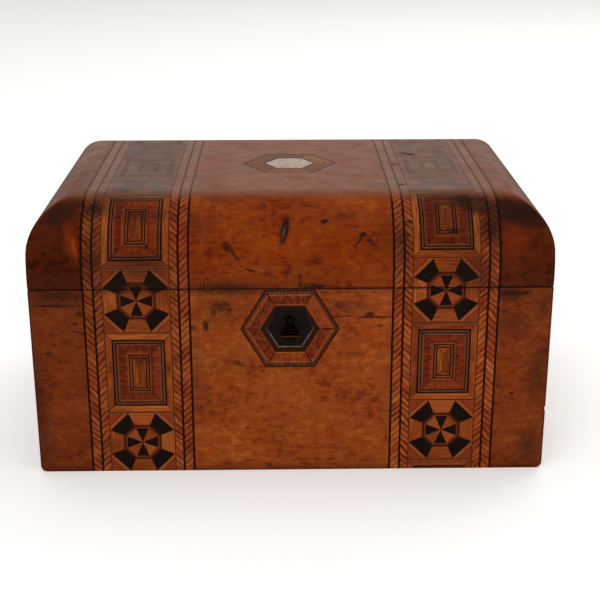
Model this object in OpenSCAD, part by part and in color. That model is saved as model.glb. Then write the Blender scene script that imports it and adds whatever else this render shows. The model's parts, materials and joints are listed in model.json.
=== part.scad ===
// A lockable work box of veneered boards, with two bands of parquetry that climb the
// front and run on over the rounded lid, a hexagonal escutcheon and a pearl plaque.
// X runs left to right, Y front to back, Z up; the origin is the middle of the underside.

/* [Box] */
// Width of the box, left to right
box_w = 280; // [264:2:340]
// Depth of the box, front to back
box_d = 198; // [180:2:240]
// Height of the base, up to the joint
base_h = 107; // [98:1:140]
// Height of the lid above the joint
lid_h = 44.5; // [43:0.5:60]
// Open line between the base and the closed lid
joint_gap = 0.5; // [0.3:0.1:0.7]
// Radius of the long top edges, at the front and the back
long_edge_r = 38; // [30:1:40]
// Radius of the short top edges, at the left and the right
short_edge_r = 26; // [18:1:28]
// Radius that the base's lower end edges have worn to
worn_r = 3.6; // [1:0.1:5]

/* [Boards and skins] */
// Thickness of the carcase boards
board_t = 9; // [9:0.5:11]
// Thickness of the bottom board
bottom_t = 6; // [5:0.5:9]
// Thickness of the veneer and the inlay
veneer_t = 1; // [0.8:0.1:1.2]
// Thickness of the paper and card lining
lining_t = 0.8; // [0.5:0.1:1.2]

/* [Bands] */
// Plain veneer between a band and the end of the box
band_margin = 28.6; // [28:0.2:34]
// Width of the row of tiles
tile_w = 35.2; // [32:0.2:38]
// Height of a star tile along the band
star_h = 35.2; // [32:0.2:38]
// Distance from one star to the next on the left band
left_pitch = 83; // [76:0.5:90]
// Height of the left band's first star centre
left_star_s = 17.8; // [10:0.2:30]
// Distance from one star to the next on the right band
right_pitch = 81.8; // [76:0.5:90]
// Height of the right band's first star centre
right_star_s = 23.9; // [10:0.2:30]
// Width of the dark line between two tiles
tile_line = 1.2; // [0.8:0.1:1.6]
// Width of the thin dark line beside the tiles
edge_line = 0.6; // [0.4:0.1:1]
// Width of the inner feather strip
inner_feather_w = 3.9; // [3:0.1:5]
// Width of a band's black lines
black_line = 1.2; // [0.8:0.1:1.6]
// Width of the outer feather strip
outer_feather_w = 4.3; // [3:0.1:5]
// Half width of the wheel in a star tile, over the blades' inner ends
wheel_r = 10.4; // [9.6:0.1:11.4]
// Width of the ring round the wheel
wheel_ring = 2.1; // [1.2:0.1:2.4]

/* [Escutcheon] */
// Sideways place of the lock and its escutcheon
lock_x = -0.8; // [-8:0.2:8]
// Drop from the joint to the middle of the escutcheon
escutcheon_drop = 22.6; // [22.5:0.1:26]
// Height of the escutcheon over its flat sides
escutcheon_h = 44.6; // [42:0.2:45]
// Width of the escutcheon from point to point
escutcheon_w = 53.8; // [50:0.2:58]
// Width of its dark outline
outline_w = 0.9; // [0.6:0.1:1.4]
// Width of its toothed stringing
dentil_w = 2.6; // [1.8:0.1:3]
// Width of its mitred frame
frame_w = 5.4; // [4:0.1:6]
// Width of the line inside the frame
frame_line = 0.5; // [0.3:0.1:0.8]
// Depth of the sunk dark plate below the veneer
plate_sink = 0.5; // [0.2:0.1:0.6]
// Open mitre line between two frame pieces
mitre_gap = 0.15; // [0.1:0.05:0.3]

/* [Lock] */
// Drop from the joint to the middle of the keyhole's eye
keyhole_drop = 18.7; // [17.5:0.1:20]
// Radius of the keyhole's eye
keyhole_r = 3.3; // [2.6:0.1:3.6]
// Depth of the keyhole's skirt below the eye's middle
keyhole_skirt = 8.8; // [7:0.1:9]
// Width of the skirt at its foot
skirt_w = 11.2; // [8:0.1:12]
// Width of the lock plate past the case, at each side
lock_ear = 4; // [4:0.5:6]
// Height of the lock plate below the joint
lock_h = 36; // [35:1:42]
// Thickness of the lock plate and its lip
lock_plate_t = 1.5; // [1.2:0.1:1.8]
// Width of the lip on the top edge of the board
lock_lip = 7.8; // [7.6:0.1:8]
// Room in the lock case past the end of the bolt
case_end_gap = 0.7; // [0.5:0.1:1.2]
// Depth of the lock case
case_depth = 6.1; // [5.9:0.1:6.2]
// Wall of the lock case
case_wall = 0.9; // [0.7:0.1:1]
// Travel of the bolt
bolt_travel = 4.5; // [4.3:0.1:4.7]
// Thickness of the bolt
bolt_t = 1.8; // [1.4:0.1:2]
// Distance between the two loops
loop_spacing = 17; // [16.6:0.2:17.4]
// Thickness of a loop
loop_t = 2.2; // [2:0.1:2.3]
// Width of a loop
loop_w = 4; // [3.8:0.1:4.2]
// Depth of a loop below the lid
loop_drop = 8.9; // [8.7:0.1:9.1]
// Clearance round the loops and the bolt
lock_clearance = 0.5; // [0.4:0.05:0.6]

/* [Hinges] */
// Distance from the end of the box to the middle of each hinge
hinge_end = 56; // [50:1:74]
// Length of a hinge
hinge_l = 34; // [28:1:40]
// Distance from the back face to the hinge axis
hinge_inset = 2.4; // [2.3:0.1:3]
// Radius of the knuckles
knuckle_r = 2.2; // [2:0.1:2.3]
// Radius of the hinge pin
hinge_pin_r = 0.9; // [0.7:0.1:1.1]
// Clearance of the pin in its knuckles
pin_clearance = 0.05; // [0.03:0.01:0.08]
// Width of a hinge leaf, from the axis
leaf_w = 7.2; // [6.8:0.1:7.4]
// Thickness of a hinge leaf
leaf_t = 1.2; // [1:0.1:1.4]
// Slope of the two back edges that stop the lid
stop_bevel = 48; // [45:1:52]

/* [Screws] */
// Radius of a screw's shank
screw_r = 0.8; // [0.6:0.1:0.9]
// Radius of a screw's head
screw_head_r = 1.6; // [1.3:0.1:1.7]
// Length of a hinge screw
hinge_screw_l = 9; // [7:0.5:12]
// Length of a lock screw
lock_screw_l = 7; // [5:0.5:8]

/* [Plaque] */
// Width of the pearl from point to point
pearl_w = 28.8; // [24:0.2:32]
// Depth of the pearl over its flat sides
pearl_d = 24.6; // [20:0.2:28]
// Width of the plaque's frame
plaque_frame_w = 9.4; // [7:0.1:11]
// Width of the dark lines round the frame
plaque_line = 1; // [0.6:0.1:1.4]

/* [Hidden] */
$fn = 64;
half_w = box_w / 2;
half_d = box_d / 2;
lid_z = base_h + joint_gap;
box_h = lid_z + lid_h;
eps = 0.01;

inner_half_w = half_w - veneer_t - board_t;
inner_half_d = half_d - veneer_t - board_t;

// The bands' path: s is the length along the skin from the table, up the front, over the
// long edge, across the top and down the back.
arc_l = PI / 2 * long_edge_r;
arc_start = box_h - long_edge_r;
top_start = arc_start + arc_l;
top_l = box_d - 2 * long_edge_r;
back_start = top_start + top_l;
back_end = back_start + arc_l;
arc_steps = 4;

hinge_x = half_w - hinge_end;
hinge_y = half_d - hinge_inset;
hinge_z = base_h + joint_gap / 2;
bevel_rise = hinge_inset * tan(stop_bevel);
path_end = back_end + arc_start - lid_z - bevel_rise;

line_wood = "line";
dark_wood = "dark";
light_wood = "light";
red_wood = "red";
feather_wood = "feather";

tile_half = tile_w / 2;
inner_line_at = tile_half + edge_line + inner_feather_w;
outer_line_at = inner_line_at + black_line + outer_feather_w;
band_half = outer_line_at + black_line;
band_x = half_w - band_margin - band_half;

// The frames of a rectangular tile from the outside in: width and wood of each.
panel_frames = [
    [3.2, light_wood], [1, line_wood], [0.8, light_wood], [0.7, line_wood], [0.8, light_wood],
    [4.6, red_wood], [0.9, light_wood], [0.7, line_wood], [0.8, light_wood], [0.7, line_wood]];
wheel_eye = 0.4;

keyhole_z = base_h - keyhole_drop;
escutcheon_z = base_h - escutcheon_drop;
frame_outer_h = escutcheon_h - 2 * (outline_w + dentil_w);
frame_inner_h = frame_outer_h - 2 * frame_w;
plate_h = frame_inner_h - 2 * frame_line;

lock_face_y = -inner_half_d;
case_back_y = lock_face_y - lock_plate_t;
case_front_y = case_back_y - case_depth;
case_room = case_depth - case_wall;
bolt_y = case_back_y - case_room / 2;
case_top_z = base_h - lock_plate_t;
case_foot = 3.5;
case_bottom_z = base_h - lock_h + case_foot;
mortise_clearance = 0.2;

// The bolt: a bar on two stumps, with two horns that enter the loops.
horn_gap = 0.8;
horn_finger = bolt_travel - horn_gap + 0.7;
horn_riser = 2.6;
loop_bottom_z = lid_z - loop_drop;
loop_strap = 1.6;
loop_eye_h = 3.6;
loop_eye_w = loop_w - 1.4;
finger_h = loop_eye_h - 2 * lock_clearance - 0.2;
finger_z = loop_bottom_z + loop_strap + lock_clearance + 0.1;
bolt_bar_h = 6.2;
bolt_top_z = loop_bottom_z - 0.9;
bolt_bottom_z = bolt_top_z - bolt_bar_h;
bolt_left = -loop_spacing / 2 - loop_t / 2 - horn_gap - horn_finger - horn_riser;
bolt_right = 12;
case_w = 2 * (case_wall + case_end_gap - bolt_left);
lock_w = case_w + 2 * lock_ear;
stump_r = 1.5;
stump_gap = 0.3;
stump_x = [-7, 9];
stump_z = (bolt_top_z + bolt_bottom_z) / 2;
talon_x = -4.4;
talon_w = 4.3;
talon_h = 2.2;
drill_pin_r = 1.1;
spring_t = 0.5;
spring_reach = 8;
spring_rise = 5.2;

lock_screw_x = (case_w + lock_ear) / 2;
lock_screw_zs = [base_h - 6, base_h - lock_h + 4];
link_half = lock_w / 2 - 3;
link_t = 1.4;
link_screw_x = link_half - 3;
link_screw_l = 9;

knuckles = 5;
knuckle_l = hinge_l / knuckles;
knuckle_gap = 0.2;
knuckle_play = 0.3;
groove_play = 0.4;
leaf_play = 0.1;
hinge_screw_y = hinge_y - leaf_w + 2.4;
hinge_screw_xs = [-11, 0, 11];

plaque_clear = 0.4;
frame_h = pearl_d + 2 * plaque_line + 2 * plaque_frame_w;

// ---- Helpers ----

// A block from its lowest to its highest corner
module block(lo, hi) {
    translate(lo) cube(hi - lo);
}

// A drawing in Y and Z, carried along X from x0 to x1
module along_x(x0, x1) {
    translate([x0, 0, 0]) rotate([90, 0, 90]) linear_extrude(x1 - x0) children();
}

// A drawing in X and Z, carried along Y from y0 to y1
module along_y(y0, y1) {
    translate([0, y1, 0]) rotate([90, 0, 0]) linear_extrude(y1 - y0) children();
}

// Half an upright section with a rounded top corner, on the right of the middle
module half_section(half, top, r, bottom) {
    translate([0, bottom]) square([half, top - r - bottom]);
    translate([0, top - r]) square([half - r, r]);
    intersection() {
        translate([half - r, top - r]) circle(r);
        translate([half - r, top - r]) square(r);
    }
}

// The section of the lid with both top corners rounded
module section(half, top, r, bottom) {
    half_section(half, top, r, bottom);
    mirror([1, 0]) half_section(half, top, r, bottom);
}

// The lid's outer form, drawn in by an inset: where its two rounded sections cross
module lid_form(inset, bottom) {
    intersection() {
        along_x(-half_w + inset, half_w - inset)
            section(half_d - inset, box_h - inset, long_edge_r - inset, bottom);
        along_y(-half_d + inset, half_d - inset)
            section(half_w - inset, box_h - inset, short_edge_r - inset, bottom);
    }
}

// The wedge that bevels the back edge of the base, and its mirror image on the lid
module base_bevel() {
    along_x(-half_w - 1, half_w + 1)
        polygon([[hinge_y, base_h], [half_d + 1, base_h - (hinge_inset + 1) * tan(stop_bevel)],
                 [half_d + 1, base_h + 1], [hinge_y, base_h + 1]]);
}

// What has worn off the lower edge at both ends of the base
module worn_edges() {
    along_y(-half_d - 1, half_d + 1) for (side = [-1, 1]) difference() {
        translate([side * half_w - worn_r, -worn_r]) square(2 * worn_r);
        translate([side * (half_w - worn_r), worn_r]) circle(worn_r);
    }
}

module lid_bevel() {
    along_x(-half_w - 1, half_w + 1)
        polygon([[hinge_y, lid_z], [half_d + 1, lid_z + (hinge_inset + 1) * tan(stop_bevel)],
                 [half_d + 1, lid_z - 1], [hinge_y, lid_z - 1]]);
}

// A flat-topped hexagon, w from point to point and h over its flats
function hexagon(w, h) = [[w / 2, 0], [w / 4, h / 2], [-w / 4, h / 2],
                          [-w / 2, 0], [-w / 4, -h / 2], [w / 4, -h / 2]];

// A hexagon's width when its height shrinks with the sides kept parallel
function hex_w(w, h, new_h) = w * new_h / h;

// ---- The skin's path ----

// Slope of the skin at s: 0 up the front, 90 over the top, 180 down the back
function skin_angle(s) =
    s < arc_start ? 0 :
    s < top_start ? (s - arc_start) / arc_l * 90 :
    s < back_start ? 90 :
    s < back_end ? 90 + (s - back_start) / arc_l * 90 : 180;

// The point [y, z] at length s along the skin, moved outwards by out
function skin_point(s, out) =
    let (a = skin_angle(s), r = long_edge_r + out)
    s < arc_start ? [-half_d - out, s] :
    s < top_start ? [-half_d + long_edge_r - r * cos(a), arc_start + r * sin(a)] :
    s < back_start ? [-half_d + long_edge_r + s - top_start, box_h + out] :
    s < back_end ? [half_d - long_edge_r - r * cos(a), arc_start + r * sin(a)] :
    [half_d + out, arc_start - (s - back_end)];

// The lengths at which a piece of skin from a to b needs a corner in its cutter
function skin_stops(a, b) =
    let (turns = concat([for (k = [0 : arc_steps]) arc_start + k * arc_l / arc_steps],
                        [for (k = [0 : arc_steps]) back_start + k * arc_l / arc_steps]))
    concat([a], [for (t = turns) if (t > a + eps && t < b - eps) t], [b]);

// The section of the lid's skin between the lengths a and b
module skin_section(a, b) {
    reach = 4;
    stops = skin_stops(a, b);
    last = len(stops) - 1;
    outer = [for (s = stops) skin_point(s, reach)];
    inner = [for (i = [last : -1 : 0]) skin_point(stops[i], -veneer_t - reach)];
    intersection() {
        difference() {
            section(half_d, box_h, long_edge_r, lid_z);
            section(half_d - veneer_t, box_h - veneer_t, long_edge_r - veneer_t, lid_z - 1);
        }
        polygon(concat(outer, inner));
    }
}

// A strip of skin between x0 and x1 and between the lengths a and b. The zone [lo, hi] keeps
// it on the base or on the lid.
module strip(x0, x1, a, b, zone) {
    lo = max(a, zone[0]);
    hi = min(b, zone[1]);
    if (hi - lo > 0.05 && x1 - x0 > 0.05) {
        if (hi <= arc_start)
            block([x0, -half_d, lo], [x1, -half_d + veneer_t, hi]);
        else if (lo >= top_start && hi <= back_start)
            block([x0, lo - top_start - half_d + long_edge_r, box_h - veneer_t],
                  [x1, hi - top_start - half_d + long_edge_r, box_h]);
        else
            along_x(x0, x1) skin_section(lo, hi);
    }
}

// A strip with a smaller strip cut out of its middle
module frame_strip(x, s, half_x, half_s, w, zone) {
    difference() {
        strip(x - half_x, x + half_x, s - half_s, s + half_s, zone);
        strip_cutter(x - half_x + w, x + half_x - w, s - half_s + w, s + half_s - w, zone);
    }
}

// The window of a frame: a strip that goes right through the skin
module strip_cutter(x0, x1, a, b, zone) {
    deeper = 1;
    lo = max(a, zone[0] - deeper);
    hi = min(b, zone[1] + deeper);
    if (hi - lo > 0.05) {
        stops = skin_stops(lo, hi);
        last = len(stops) - 1;
        outer = [for (s = stops) skin_point(s, 4)];
        inner = [for (i = [last : -1 : 0]) skin_point(stops[i], -veneer_t - 4)];
        along_x(x0, x1) polygon(concat(outer, inner));
    }
}

// ---- The tiles of the bands ----

// One shaped piece of a star tile, cut square to the skin at the tile's middle
module star_piece(x, s, points, zone) {
    cut = 9;
    middle = skin_point(s, 0);
    intersection() {
        strip(x - tile_half, x + tile_half, s - star_h / 2, s + star_h / 2, zone);
        translate([x, middle[0], middle[1]]) rotate([90 - skin_angle(s), 0, 0])
            translate([0, 0, -cut]) linear_extrude(2 * cut) polygon(points);
    }
}

// The corner of an eight-sided figure, k from 0 to 7, with half width r
function octagon_point(k, r) = r / cos(22.5) * [cos(45 * k + 22.5), sin(45 * k + 22.5)];

// One of eight blades between two eight-sided figures; blade 0 points up the band
function blade(k, inner_r, outer_r) =
    [octagon_point(k + 1, inner_r), octagon_point(k + 1, outer_r),
     octagon_point(k + 2, outer_r), octagon_point(k + 2, inner_r)];

module star_tile(x, s, wood, zone) {
    ring_inner = wheel_r - wheel_ring;
    over = 2;
    for (k = [0 : 7]) {
        straight = k % 2 == 0;
        grow = straight ? over : 0;
        corner = octagon_point(k + 1, tile_half);
        next = octagon_point(k + 2, tile_half);
        if (wood == (straight ? light_wood : dark_wood))
            star_piece(x, s, concat(
                [octagon_point(k + 1, wheel_r), corner],
                straight ? [corner + grow * outward(k), next + grow * outward(k)] : [],
                [next, octagon_point(k + 2, wheel_r)]), zone);
        if (wood == (straight ? dark_wood : light_wood))
            star_piece(x, s, blade(k, wheel_eye, ring_inner), zone);
        if (wood == red_wood && !straight)
            star_piece(x, s, [corner, next, next + over * outward(k + 1),
                              tile_corner(k, over), corner + over * outward(k - 1)], zone);
    }
    if (wood == red_wood)
        difference() {
            star_piece(x, s, [for (k = [0 : 7]) octagon_point(k, wheel_r)], zone);
            star_piece(x, s, [for (k = [0 : 7]) octagon_point(k, ring_inner)], zone);
        }
}

// The direction in which blade k points
function outward(k) = [cos(45 * k + 90), sin(45 * k + 90)];

// The far corner of a star tile beyond its slanting blade k
function tile_corner(k, over) = sqrt(2) * (tile_half + over) * outward(k);

module panel_tile(x, s, half_s, wood, zone, i = 0, inset = 0) {
    if (i < len(panel_frames)) {
        if (panel_frames[i][1] == wood)
            frame_strip(x, s, tile_half - inset, half_s - inset, panel_frames[i][0], zone);
        panel_tile(x, s, half_s, wood, zone, i + 1, inset + panel_frames[i][0]);
    } else if (wood == light_wood)
        strip(x - tile_half + inset, x + tile_half - inset, s - half_s + inset, s + half_s - inset, zone);
}

// All of one band's pieces in one wood, on one side of the joint
module band(x, first_star, pitch, wood, zone) {
    panel_half = (pitch - star_h) / 2 - tile_line;
    copies = ceil((path_end - first_star) / pitch);
    for (k = [0 : copies]) {
        star = first_star + k * pitch;
        panel = star - pitch / 2;
        if (star + star_h / 2 > zone[0] && star - star_h / 2 < zone[1])
            star_tile(x, star, wood, zone);
        if (panel + panel_half > zone[0] && panel - panel_half < zone[1])
            panel_tile(x, panel, panel_half, wood, zone);
        if (wood == line_wood)
            for (side = [-1, 1])
                strip(x - tile_half, x + tile_half, star + side * (star_h + tile_line) / 2 - tile_line / 2,
                      star + side * (star_h + tile_line) / 2 + tile_line / 2, zone);
    }
    for (side = [-1, 1]) {
        if (wood == line_wood) {
            side_strip(x, side, tile_half, edge_line, zone);
            side_strip(x, side, inner_line_at, black_line, zone);
            side_strip(x, side, outer_line_at, black_line, zone);
        }
        if (wood == feather_wood) {
            side_strip(x, side, tile_half + edge_line, inner_feather_w, zone);
            side_strip(x, side, inner_line_at + black_line, outer_feather_w, zone);
        }
    }
}

// A strip along the whole band, starting at a distance from its middle
module side_strip(x, side, at, w, zone) {
    near = x + side * at;
    far = x + side * (at + w);
    strip(min(near, far), max(near, far), zone[0], zone[1], zone);
}

module bands(wood, zone) {
    band(-band_x, left_star_s, left_pitch, wood, zone);
    band(band_x, right_star_s, right_pitch, wood, zone);
}

base_zone = [0, base_h];
lid_zone = [lid_z, path_end];

module base_band_lines() color("#1c1410") bands(line_wood, base_zone);
module base_band_blades() color("#15110f") bands(dark_wood, base_zone);
module base_band_satinwood() color("#b5652b") bands(light_wood, base_zone);
module base_band_redwood() color("#6b2a16") bands(red_wood, base_zone);
module base_band_feather() color("#a85a28") bands(feather_wood, base_zone);
module lid_band_lines() color("#1c1410") bands(line_wood, lid_zone);
module lid_band_blades() color("#15110f") bands(dark_wood, lid_zone);
module lid_band_satinwood() color("#b5652b") bands(light_wood, lid_zone);
module lid_band_redwood() color("#6b2a16") bands(red_wood, lid_zone);
module lid_band_feather() color("#a85a28") bands(feather_wood, lid_zone);

// ---- Screws ----

// A countersunk wood screw pointing down, its head flush with z = 0
module screw(length) {
    head = screw_head_r - screw_r;
    difference() {
        union() {
            translate([0, 0, -length]) cylinder(r = screw_r, h = length - head);
            translate([0, 0, -head]) cylinder(r1 = screw_r, r2 = screw_head_r, h = head);
        }
        translate([-screw_head_r - 1, -0.2, -0.4]) cube([2 * screw_head_r + 2, 0.4, 1]);
    }
}

// The hole that such a screw goes into
module screw_hole(length) {
    head = screw_head_r - screw_r;
    translate([0, 0, -length - 0.2]) cylinder(r = screw_r + 0.05, h = length + 0.4);
    translate([0, 0, -head]) cylinder(r1 = screw_r + 0.05, r2 = screw_head_r + 0.05, h = head);
    cylinder(r = screw_head_r + 0.05, h = 1);
}

module at_lock_screws() {
    for (x = [-lock_screw_x, lock_screw_x], z = lock_screw_zs)
        translate([lock_x + x, lock_face_y, z]) rotate([-90, 0, 0]) children();
}

module at_link_screws() {
    for (x = [-link_screw_x, link_screw_x])
        translate([lock_x + x, bolt_y, lid_z]) rotate([180, 0, 0]) children();
}

module at_hinge_screws(side, z, turn) {
    for (x = hinge_screw_xs)
        translate([side * hinge_x + x, hinge_screw_y, z]) rotate([turn, 0, 0]) children();
}

module lock_screws() color("#b9975b") at_lock_screws() screw(lock_screw_l);
module link_screws() color("#b9975b") at_link_screws() screw(link_screw_l);

module hinge_base_screws() color("#b9975b")
    for (side = [-1, 1]) at_hinge_screws(side, base_h, 0) screw(hinge_screw_l);

module hinge_lid_screws() color("#b9975b")
    for (side = [-1, 1]) at_hinge_screws(side, lid_z, 180) screw(hinge_screw_l);

// ---- The base ----

module keyhole(y0, y1, grow) {
    translate([lock_x, 0, keyhole_z]) {
        along_y(y0, y1) circle(keyhole_r + grow);
        along_y(y0, y1)
            polygon([[-keyhole_r * 0.7 - grow, 0], [keyhole_r * 0.7 + grow, 0],
                     [skirt_w / 2 + grow, -keyhole_skirt - grow], [-skirt_w / 2 - grow, -keyhole_skirt - grow]]);
    }
}

module lock_mortise() {
    c = mortise_clearance;
    block([lock_x - case_w / 2 - c, case_front_y - c, case_bottom_z - c],
          [lock_x + case_w / 2 + c, lock_face_y + 1, base_h + 1]);
    block([lock_x - lock_w / 2 - c, case_back_y, base_h - lock_h - c],
          [lock_x + lock_w / 2 + c, lock_face_y + 1, base_h + 1]);
    block([lock_x - lock_w / 2 - c, lock_face_y - lock_lip, case_top_z],
          [lock_x + lock_w / 2 + c, lock_face_y + 1, base_h + 1]);
}

module base_front_board() color("#8a5a34")
    difference() {
        block([-half_w + veneer_t, -half_d + veneer_t, 0], [half_w - veneer_t, -inner_half_d, base_h]);
        worn_edges();
        lock_mortise();
        keyhole(-half_d, lock_face_y, 0);
        at_lock_screws() screw_hole(lock_screw_l);
    }

// The rebates that the base leaves lie in, with a groove for the knuckles
module hinge_rebate(side, z0, z1) {
    x0 = side * hinge_x - hinge_l / 2 - leaf_play;
    x1 = side * hinge_x + hinge_l / 2 + leaf_play;
    block([x0, hinge_y - leaf_w - leaf_play, z0], [x1, hinge_y, z1]);
    along_x(x0 - leaf_play, x1 + leaf_play) translate([hinge_y, hinge_z]) circle(knuckle_r + groove_play);
}

module base_back_board() color("#8a5a34")
    difference() {
        block([-half_w + veneer_t, inner_half_d, 0], [half_w - veneer_t, half_d - veneer_t, base_h]);
        worn_edges();
        base_bevel();
        for (side = [-1, 1]) {
            hinge_rebate(side, base_h - leaf_t, base_h + 1);
            at_hinge_screws(side, base_h, 0) screw_hole(hinge_screw_l);
        }
    }

module base_end_board(side) color("#8a5a34")
    difference() {
        translate([side > 0 ? inner_half_w : -half_w + veneer_t, -inner_half_d, 0])
            cube([board_t, 2 * inner_half_d, base_h]);
        worn_edges();
    }

module base_left_board() base_end_board(-1);
module base_right_board() base_end_board(1);

module base_bottom_board() color("#8a5a34")
    block([-inner_half_w, -inner_half_d, 0], [inner_half_w, inner_half_d, bottom_t]);

module base_front_veneer() color("#9c5220")
    difference() {
        for (x = [[-half_w + veneer_t, -band_x - band_half], [-band_x + band_half, band_x - band_half],
                  [band_x + band_half, half_w - veneer_t]])
            block([x[0], -half_d, 0], [x[1], -half_d + veneer_t, base_h]);
        worn_edges();
        at_escutcheon() linear_extrude(3 * veneer_t, center = true)
            polygon(hexagon(escutcheon_w, escutcheon_h));
    }

module base_back_veneer() color("#9c5220")
    difference() {
        block([-half_w + veneer_t, half_d - veneer_t, 0], [half_w - veneer_t, half_d, base_h]);
        worn_edges();
        base_bevel();
        for (side = [-1, 1]) hinge_rebate(side, base_h - leaf_t, base_h + 1);
    }

module base_end_veneer(side) color("#7d3a1a")
    difference() {
        translate([side > 0 ? half_w - veneer_t : -half_w, -half_d, 0]) cube([veneer_t, box_d, base_h]);
        worn_edges();
        base_bevel();
    }

module base_left_veneer() base_end_veneer(-1);
module base_right_veneer() base_end_veneer(1);

// Lining of the base: a floor sheet and four wall sheets
module base_lining() color("#5b2333") {
    t = lining_t;
    wall_bottom = bottom_t + t;
    wall_top = base_h - 3;
    inner_w = inner_half_w - t;
    block([-inner_half_w, -inner_half_d, bottom_t], [inner_half_w, inner_half_d, wall_bottom]);
    difference() {
        block([-inner_half_w, -inner_half_d, wall_bottom], [inner_half_w, -inner_half_d + t, wall_top]);
        block([lock_x - lock_w / 2 - 1, -inner_half_d - 1, base_h - lock_h - 1],
              [lock_x + lock_w / 2 + 1, -inner_half_d + t + 1, base_h]);
    }
    block([-inner_half_w, inner_half_d - t, wall_bottom], [inner_half_w, inner_half_d, wall_top]);
    for (side = [-1, 1])
        block([side > 0 ? inner_w : -inner_half_w, -inner_half_d + t, wall_bottom],
              [side > 0 ? inner_half_w : -inner_w, inner_half_d - t, wall_top]);
}

// ---- The escutcheon ----

module at_escutcheon() {
    translate([lock_x, -half_d + veneer_t / 2, escutcheon_z]) rotate([90, 0, 0]) children();
}

// A ring between two hexagons with parallel sides, given by their heights
module hex_ring(w, h, outer_h, inner_h, t) {
    linear_extrude(t, center = true) difference() {
        polygon(hexagon(hex_w(w, h, outer_h), outer_h));
        polygon(hexagon(hex_w(w, h, inner_h), inner_h));
    }
}

module escutcheon_ring(outer_h, inner_h) {
    at_escutcheon() hex_ring(escutcheon_w, escutcheon_h, outer_h, inner_h, veneer_t);
}

module escutcheon_outline() color("#1d1310") {
    escutcheon_ring(escutcheon_h, escutcheon_h - 2 * outline_w);
    escutcheon_ring(frame_inner_h, plate_h);
}

module escutcheon_dentil() color("#b87a45")
    escutcheon_ring(escutcheon_h - 2 * outline_w, frame_outer_h);

// Six pieces with their ends cut to meet at the points, each a little clear of the next
module mitred_frame(w, h, outer_h, inner_h, t) {
    outer = hexagon(hex_w(w, h, outer_h), outer_h);
    inner = hexagon(hex_w(w, h, inner_h), inner_h);
    for (k = [0 : 5]) {
        n = (k + 1) % 6;
        along = (outer[n] - outer[k]) / norm(outer[n] - outer[k]) * mitre_gap / 2;
        linear_extrude(t, center = true)
            polygon([outer[k] + along, outer[n] - along, inner[n] - along, inner[k] + along]);
    }
}

module escutcheon_frame() color("#7b3216")
    at_escutcheon() mitred_frame(escutcheon_w, escutcheon_h, frame_outer_h, frame_inner_h, veneer_t);

module escutcheon_plate() color("#16130f")
    difference() {
        at_escutcheon() translate([0, 0, -plate_sink / 2])
            linear_extrude(veneer_t - plate_sink, center = true)
                polygon(hexagon(hex_w(escutcheon_w, escutcheon_h, plate_h), plate_h));
        keyhole(-half_d - 1, -half_d + veneer_t + 1, 0);
    }

// ---- The lock ----

module lock_plate() color("#b9975b")
    difference() {
        union() {
            block([lock_x - lock_w / 2, case_back_y, base_h - lock_h],
                  [lock_x + lock_w / 2, lock_face_y, base_h]);
            block([lock_x - lock_w / 2, lock_face_y - lock_lip, case_top_z],
                  [lock_x + lock_w / 2, lock_face_y, base_h]);
            for (x = stump_x)
                translate([lock_x + x, 0, stump_z])
                    along_y(case_back_y - case_room, case_back_y + lock_plate_t / 2) circle(stump_r);
        }
        for (side = [-1, 1])
            block([lock_x + side * loop_spacing / 2 - loop_t / 2 - lock_clearance,
                   bolt_y - loop_w / 2 - lock_clearance, case_top_z - 1],
                  [lock_x + side * loop_spacing / 2 + loop_t / 2 + lock_clearance,
                   bolt_y + loop_w / 2 + lock_clearance, base_h + 1]);
        at_lock_screws() screw_hole(lock_screw_l);
    }

module lock_case() color("#9c7c46")
    difference() {
        block([lock_x - case_w / 2, case_front_y, case_bottom_z],
              [lock_x + case_w / 2, case_back_y, case_top_z]);
        block([lock_x - case_w / 2 + case_wall, case_front_y + case_wall, case_bottom_z + case_wall],
              [lock_x + case_w / 2 - case_wall, case_back_y + 1, case_top_z + 1]);
        keyhole(case_front_y - 1, case_front_y + case_wall + eps, 0.4);
    }

module lock_drill_pin() color("#c9b17c")
    translate([lock_x, 0, keyhole_z]) along_y(case_front_y + case_wall / 2, case_back_y) circle(drill_pin_r);

// A leaf spring that presses up under the bolt, its foot on the end wall of the case
module lock_spring() color("#8d8d8d") {
    x0 = -case_w / 2 + case_wall;
    top = bolt_bottom_z - 0.3;
    knee = top - spring_rise;
    foot = knee - 6;
    translate([lock_x, 0, 0]) along_y(bolt_y - bolt_t / 2, bolt_y + bolt_t / 2)
        polygon([[x0, foot], [x0 + spring_t, foot], [x0 + spring_t, knee],
                 [x0 + spring_reach, top - spring_t], [x0 + spring_reach + 1, top - spring_t - 0.6],
                 [x0 + spring_reach + 1.2, top - 0.6], [x0 + spring_reach, top], [x0, knee + 0.3]]);
}

module lock_bolt() color("#cdb98a")
    translate([lock_x, 0, 0]) difference() {
        along_y(bolt_y - bolt_t / 2, bolt_y + bolt_t / 2) {
            translate([bolt_left, bolt_bottom_z]) square([bolt_right - bolt_left, bolt_bar_h]);
            for (x = [bolt_left, bolt_left + loop_spacing]) {
                translate([x, bolt_top_z - 1]) square([horn_riser, finger_z + finger_h - bolt_top_z + 1]);
                translate([x + horn_riser - 1, finger_z]) square([horn_finger + 1, finger_h]);
            }
        }
        for (x = stump_x) {
            slot_r = stump_r + stump_gap;
            translate([x - bolt_travel, 0, stump_z]) along_y(bolt_y - bolt_t, bolt_y + bolt_t) {
                circle(slot_r);
                translate([bolt_travel, 0]) circle(slot_r);
                translate([0, -slot_r]) square([bolt_travel, 2 * slot_r]);
            }
        }
        block([talon_x, bolt_y - bolt_t, bolt_bottom_z - 1],
              [talon_x + talon_w, bolt_y + bolt_t, bolt_bottom_z + talon_h]);
    }

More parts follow.
